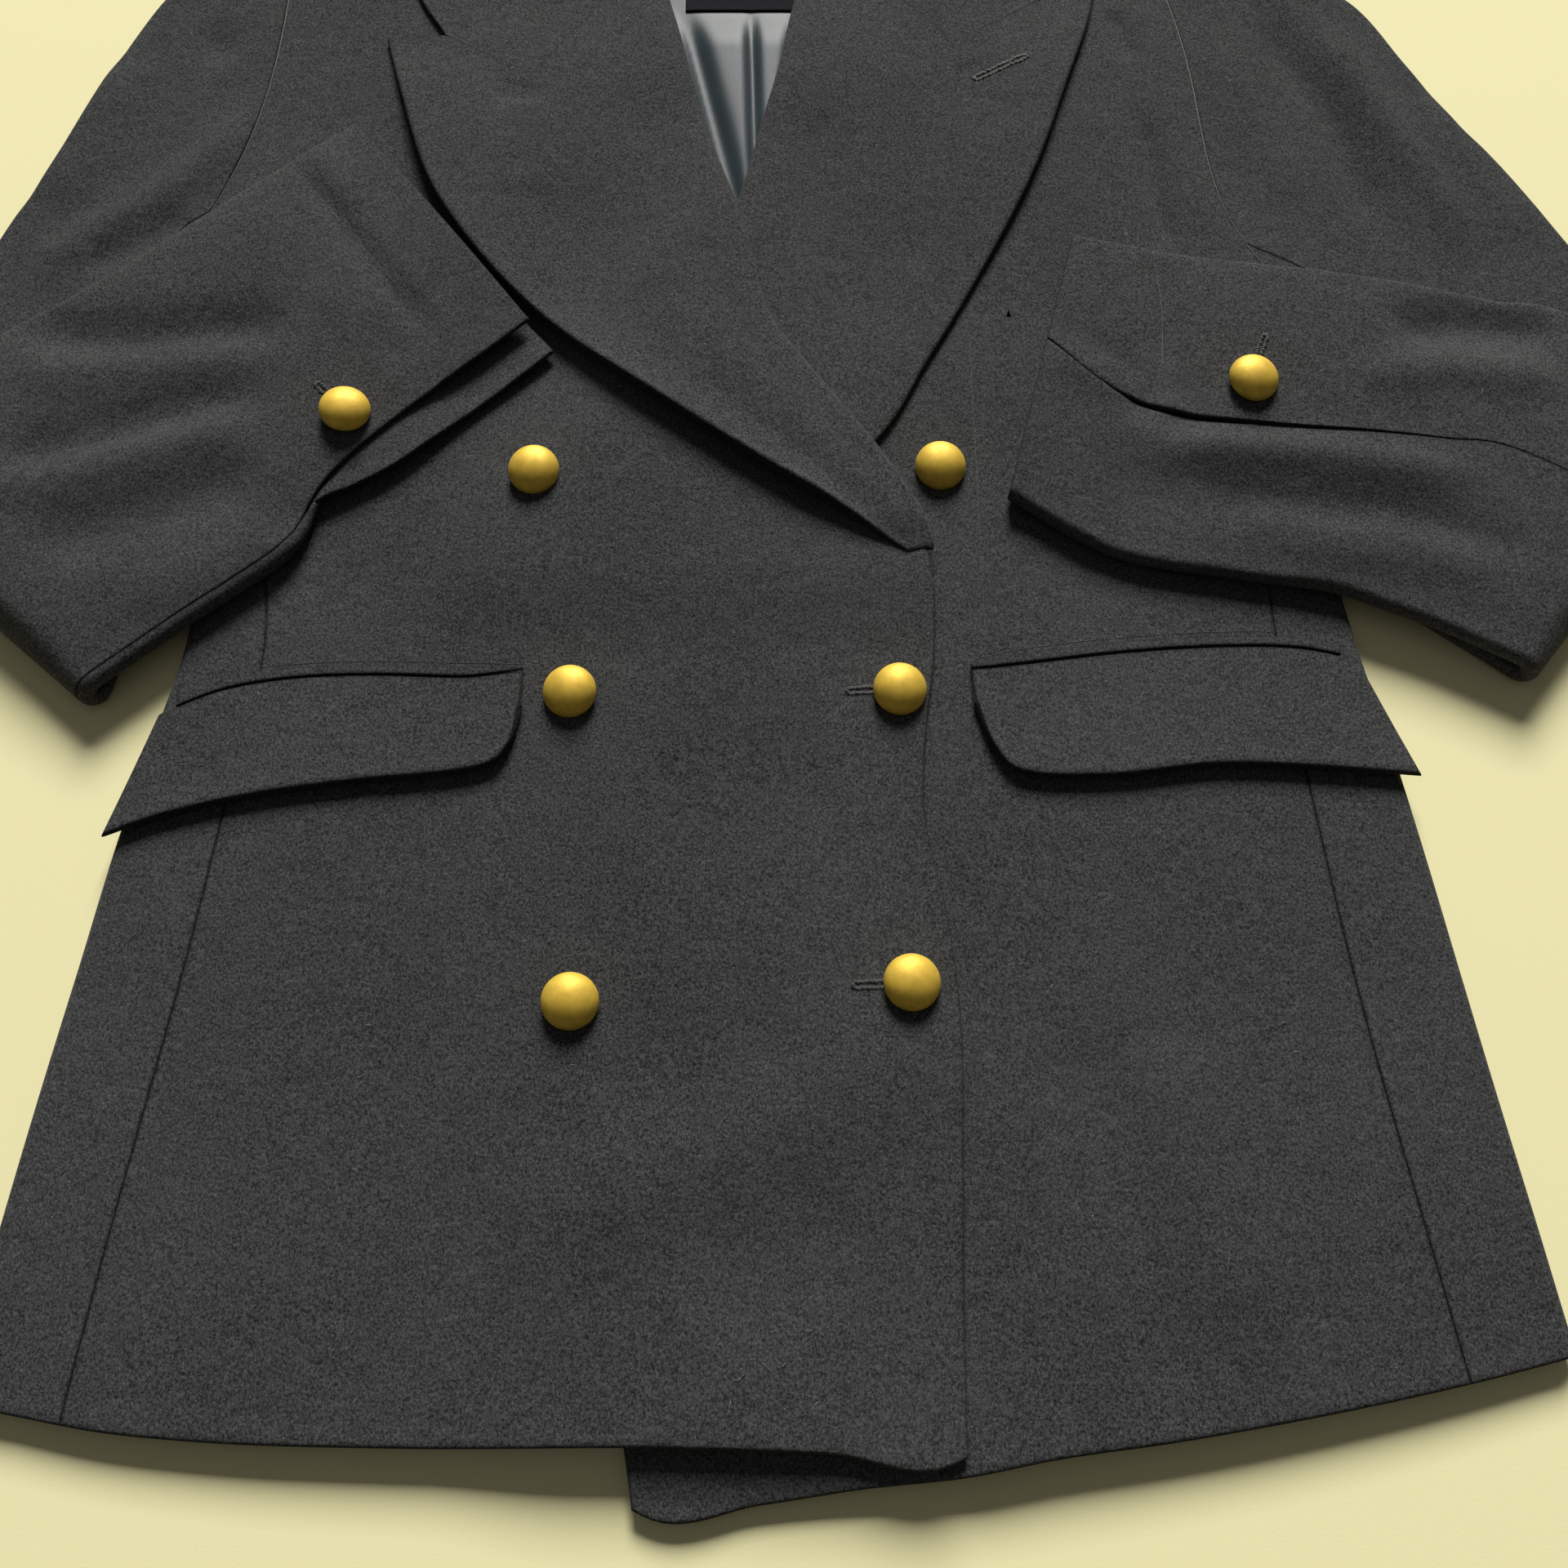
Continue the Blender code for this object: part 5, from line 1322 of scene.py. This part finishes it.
class PieceOperator(bpy.types.Operator):
    """Makes pieces of the blazer."""

    bl_options = {"REGISTER", "UNDO"}

    def execute(self, context):
        self.make(context.scene.blazer_cloth, context.scene.blazer_trim)
        return {"FINISHED"}


class BLAZER_OT_finishes(PieceOperator):
    """Makes the finishes of the wool, satin, tape, brass, threads and fibres"""

    bl_idname = "blazer.finishes"
    bl_label = "Finishes"

    def make(self, cloth, trim):
        make_wool(cloth)
        make_lining_satin(cloth)
        make_label_tape()
        make_brass(trim)
        make_thread("thread", trim.thread_colour)
        make_thread("lapel_thread", trim.lapel_thread_colour)
        make_thread("pale_fibre", trim.fibre_colour)
        make_thread("seam_thread_and_painted_shade", trim.seam_and_shade_colour)


class BLAZER_OT_body(PieceOperator):
    """Makes the back, the fronts and the side panels"""

    bl_idname = "blazer.body"
    bl_label = "Body"

    def make(self, cloth, trim):
        piece = shell("back_cloth", back_grid(cloth.step * BACK_STEP), CLOTH, "brushed_wool", (0, 1, 1, 1))
        dress(piece, "back")
        for side in ("right", "left"):
            grid = front_grid(side, cloth.step)
            above = grid[:, -1:, 1] > ARMHOLES[side]["underarm"][1]
            sewn = (0, 1, 0, 1 - ARM_SEAM_SOFT * above)
            piece = shell("front_cloth_" + side, grid, CLOTH, "brushed_wool", sewn)
            dress(piece, "front_" + side)
            grid = side_panel_grid(side, cloth.step)
            piece = shell("side_cloth_" + side, grid, CLOTH, "brushed_wool", (0, 1, 1, 1))
            dress(piece, "side_" + side)


class BLAZER_OT_lapels(PieceOperator):
    """Makes the lapels and the collar"""

    bl_idname = "blazer.lapels"
    bl_label = "Lapels and collar"

    def make(self, cloth, trim):
        for side in ("right", "left"):
            grid = lapel_grid(side, cloth.step * LAPEL_STEP)
            piece = shell("lapel_cloth_" + side, grid, LAPEL_CLOTH, "brushed_wool", (0, 1, 0, 0))
            dress(piece, "lapel_" + side)
        piece = shell("collar_cloth", collar_grid(cloth.step), CLOTH, "brushed_wool", (1, 1, 0, 0))
        dress(piece, "collar")


class BLAZER_OT_sleeves(PieceOperator):
    """Makes the top and under sleeves"""

    bl_idname = "blazer.sleeves"
    bl_label = "Sleeves"

    def make(self, cloth, trim):
        for side in ("right", "left"):
            for kind in ("top", "under"):
                grid, vent = sleeve_grid(side, kind, cloth.step)
                sewn = (1 - ARM_SEAM_SOFT, 0, 1 - vent, 1)
                piece = shell(f"sleeve_{kind}_cloth_{side}", grid, CLOTH, "brushed_wool", sewn)
                dress(piece, f"sleeve_{kind}_{side}")


class BLAZER_OT_pockets(PieceOperator):
    """Makes the pocket flaps and their welts"""

    bl_idname = "blazer.pockets"
    bl_label = "Pockets"

    def make(self, cloth, trim):
        for side in ("right", "left"):
            grid = flap_grid(side, cloth.step * POCKET_STEP)
            piece = shell("flap_cloth_" + side, grid, FLAP_CLOTH, "brushed_wool", (1, 0, 0, 0))
            dress(piece, "pocket_flap_" + side)
            grid = welt_grid(side, cloth.step * POCKET_STEP)
            piece = shell("welt_cloth_" + side, grid, WELT_CLOTH, "brushed_wool")
            dress(piece, "pocket_welt_" + side)


class BLAZER_OT_inside(PieceOperator):
    """Makes the lining and the bare label that show inside the neck"""

    bl_idname = "blazer.inside"
    bl_label = "Lining and label"

    def make(self, cloth, trim):
        piece = shell("lining_cloth", lining_grid(LINING_STEP), LINING_CLOTH, "slate_satin")
        dress(piece, "back_lining")
        piece = shell("label_tape", label_grid(LABEL_STEP), LINING_CLOTH, "woven_tape")
        dress(piece, "neck_label")


class BLAZER_OT_buttons(PieceOperator):
    """Makes the domed buttons, each leaning a little on its thread"""

    bl_idname = "blazer.buttons"
    bl_label = "Buttons"

    def make(self, cloth, trim):
        turn = stations(8, 0, 2 * math.pi)
        for place, (front, x, y) in FRONT_BUTTONS.items():
            around = x + SHANK_RADIUS * np.cos(turn), y + SHANK_RADIUS * np.sin(turn)
            seat = float(panel_height(front, *around).mean()) + CLOTH / 2
            self.add(place, x, y, seat)
        for side, (x, y) in SLEEVE_BUTTONS.items():
            around = x + SHANK_RADIUS * np.cos(turn), y + SHANK_RADIUS * np.sin(turn)
            seat = float(cloth_height("sleeve_" + side)(*around).mean()) + CLOTH / 2
            self.add("sleeve_" + side, x, y, seat)

    def add(self, place, x, y, seat):
        lean, bearing = BUTTON_LEANS[place]
        sink = SHANK_HEIGHT - BUTTON_RADIUS * math.sin(math.radians(lean)) - BUTTON_CLEAR
        seat = seat - sink
        piece = button_mesh("dome_" + place, x, y, seat, lean, bearing)
        dress(piece, "button_" + place)


class BLAZER_OT_buttonholes(PieceOperator):
    """Makes the stitches round the buttonholes"""

    bl_idname = "blazer.buttonholes"
    bl_label = "Buttonholes"

    def make(self, cloth, trim):
        for place, (carrier, start, end, opening, thread) in BUTTONHOLES.items():
            height = cloth_height(carrier)
            purl_stitches("stitches_" + place, start, end, height, opening, thread, trim.stitch)


class BLAZER_OT_sewn_lines(PieceOperator):
    """Makes the sewn lines of the darts, welts, cuffs and armholes, near black as painted shade in their
    seams
    """

    bl_idname = "blazer.sewn_lines"
    bl_label = "Sewn lines"

    def make(self, cloth, trim):
        for place, (carrier, line_x, line_y, radius) in SEWN_LINES.items():
            sewn_line("line_" + place, cloth_height(carrier), line_x, line_y, radius)
        # Painted shade: a dark thread along each armhole seam stands in for the shade where sleeve and front
        # meet
        for side, inset in (("right", ARM_LINE_INSET), ("left", -ARM_LINE_INSET)):
            low, high = ARMHOLES[side]["underarm"][1], ARMHOLES[side]["shoulder"][1]
            line_y = stations(9, low + ARM_LINE_END, high - ARM_LINE_END)
            height = cloth_height("front_" + side)
            sewn_line("painted_shade_arm_line_" + side, height, armhole(side, line_y) + inset, line_y, ARM_LINE_RADIUS)


class BLAZER_OT_lint(PieceOperator):
    """Makes the stray fibres that lie on the wool"""

    bl_idname = "blazer.lint"
    bl_label = "Stray fibres"

    def make(self, cloth, trim):
        for place, (carrier, centre, spread, count, seed) in LINT.items():
            lint("fibres_" + place, cloth_height(carrier), centre, spread, count, seed)


class BLAZER_OT_stage(bpy.types.Operator):
    """Makes the floor, the lights and the camera"""

    bl_idname = "blazer.stage"
    bl_label = "Stage"
    bl_options = {"REGISTER", "UNDO"}

    def execute(self, context):
        stage = context.scene.blazer_stage
        make_floor(stage)
        mesh = bpy.data.meshes.new("floor")
        reach = FLOOR_REACH
        corners = [(-reach, -reach, 0), (reach, -reach, 0), (reach, reach, 0), (-reach, reach, 0)]
        mesh.from_pydata(corners, [], [(0, 1, 2, 3)])
        mesh.materials.append(bpy.data.materials["pale_floor"])
        floor = bpy.data.objects.new("floor", mesh)
        floor.location = (0, 0, -FLOOR_DROP)
        context.scene.collection.objects.link(floor)
        self.light("key", stage.key_power, *KEY_LIGHT)
        self.light("fill", stage.fill_power, *FILL_LIGHT)
        context.scene.view_settings.view_transform = "Standard"
        world = bpy.data.worlds.new("room")
        context.scene.world = world
        world.use_nodes = True
        background = world.node_tree.nodes["Background"]
        background.inputs["Color"].default_value = ROOM_COLOUR
        background.inputs["Strength"].default_value = ROOM_STRENGTH
        camera = bpy.data.cameras.new("camera")
        camera.lens = CAMERA_LENS
        camera.sensor_width = CAMERA_SENSOR
        camera.clip_start = 0.01
        holder = bpy.data.objects.new("camera", camera)
        holder.location = (-CENTRE_X * MM, -CENTRE_Y * MM, stage.camera_height)
        holder.rotation_euler = (math.radians(stage.camera_tilt), 0, 0)
        context.scene.collection.objects.link(holder)
        context.scene.camera = holder
        return {"FINISHED"}

    def light(self, name, power, size, place, colour):
        """An area light that faces the middle of the garment."""
        lamp = bpy.data.lights.new(name, "AREA")
        lamp.energy = power
        lamp.size = size
        lamp.color = colour
        holder = bpy.data.objects.new(name, lamp)
        holder.location = place
        across, along, up = (-c for c in place)
        holder.rotation_euler = (math.atan2(math.hypot(across, along), -up), 0, math.atan2(-across, along))
        bpy.context.scene.collection.objects.link(holder)


class BLAZER_PT_panel(bpy.types.Panel):
    """Lists the pieces of the blazer"""

    bl_idname = "BLAZER_PT_panel"
    bl_label = "Blazer"
    bl_space_type = "VIEW_3D"
    bl_region_type = "UI"
    bl_category = "Blazer"

    def draw(self, context):
        for settings in (context.scene.blazer_cloth, context.scene.blazer_trim, context.scene.blazer_stage):
            for name in settings.__annotations__:
                self.layout.prop(settings, name)
        for operator in PIECE_OPERATORS:
            self.layout.operator(operator.bl_idname)


PIECE_OPERATORS = (
    BLAZER_OT_finishes,
    BLAZER_OT_body,
    BLAZER_OT_lapels,
    BLAZER_OT_sleeves,
    BLAZER_OT_pockets,
    BLAZER_OT_inside,
    BLAZER_OT_buttons,
    BLAZER_OT_buttonholes,
    BLAZER_OT_sewn_lines,
    BLAZER_OT_lint,
    BLAZER_OT_stage,
)
SETTINGS = {"blazer_cloth": ClothSettings, "blazer_trim": TrimSettings, "blazer_stage": StageSettings}


def register():
    for kind in (*SETTINGS.values(), *PIECE_OPERATORS, BLAZER_PT_panel):
        bpy.utils.register_class(kind)
    for name, kind in SETTINGS.items():
        setattr(bpy.types.Scene, name, PointerProperty(type=kind))


def unregister():
    for name in SETTINGS:
        delattr(bpy.types.Scene, name)
    for kind in (BLAZER_PT_panel, *reversed(PIECE_OPERATORS), *SETTINGS.values()):
        bpy.utils.unregister_class(kind)


def main():
    register()
    for operator in PIECE_OPERATORS:
        group, name = operator.bl_idname.split(".")
        getattr(getattr(bpy.ops, group), name)()


if __name__ == "__main__":
    main()
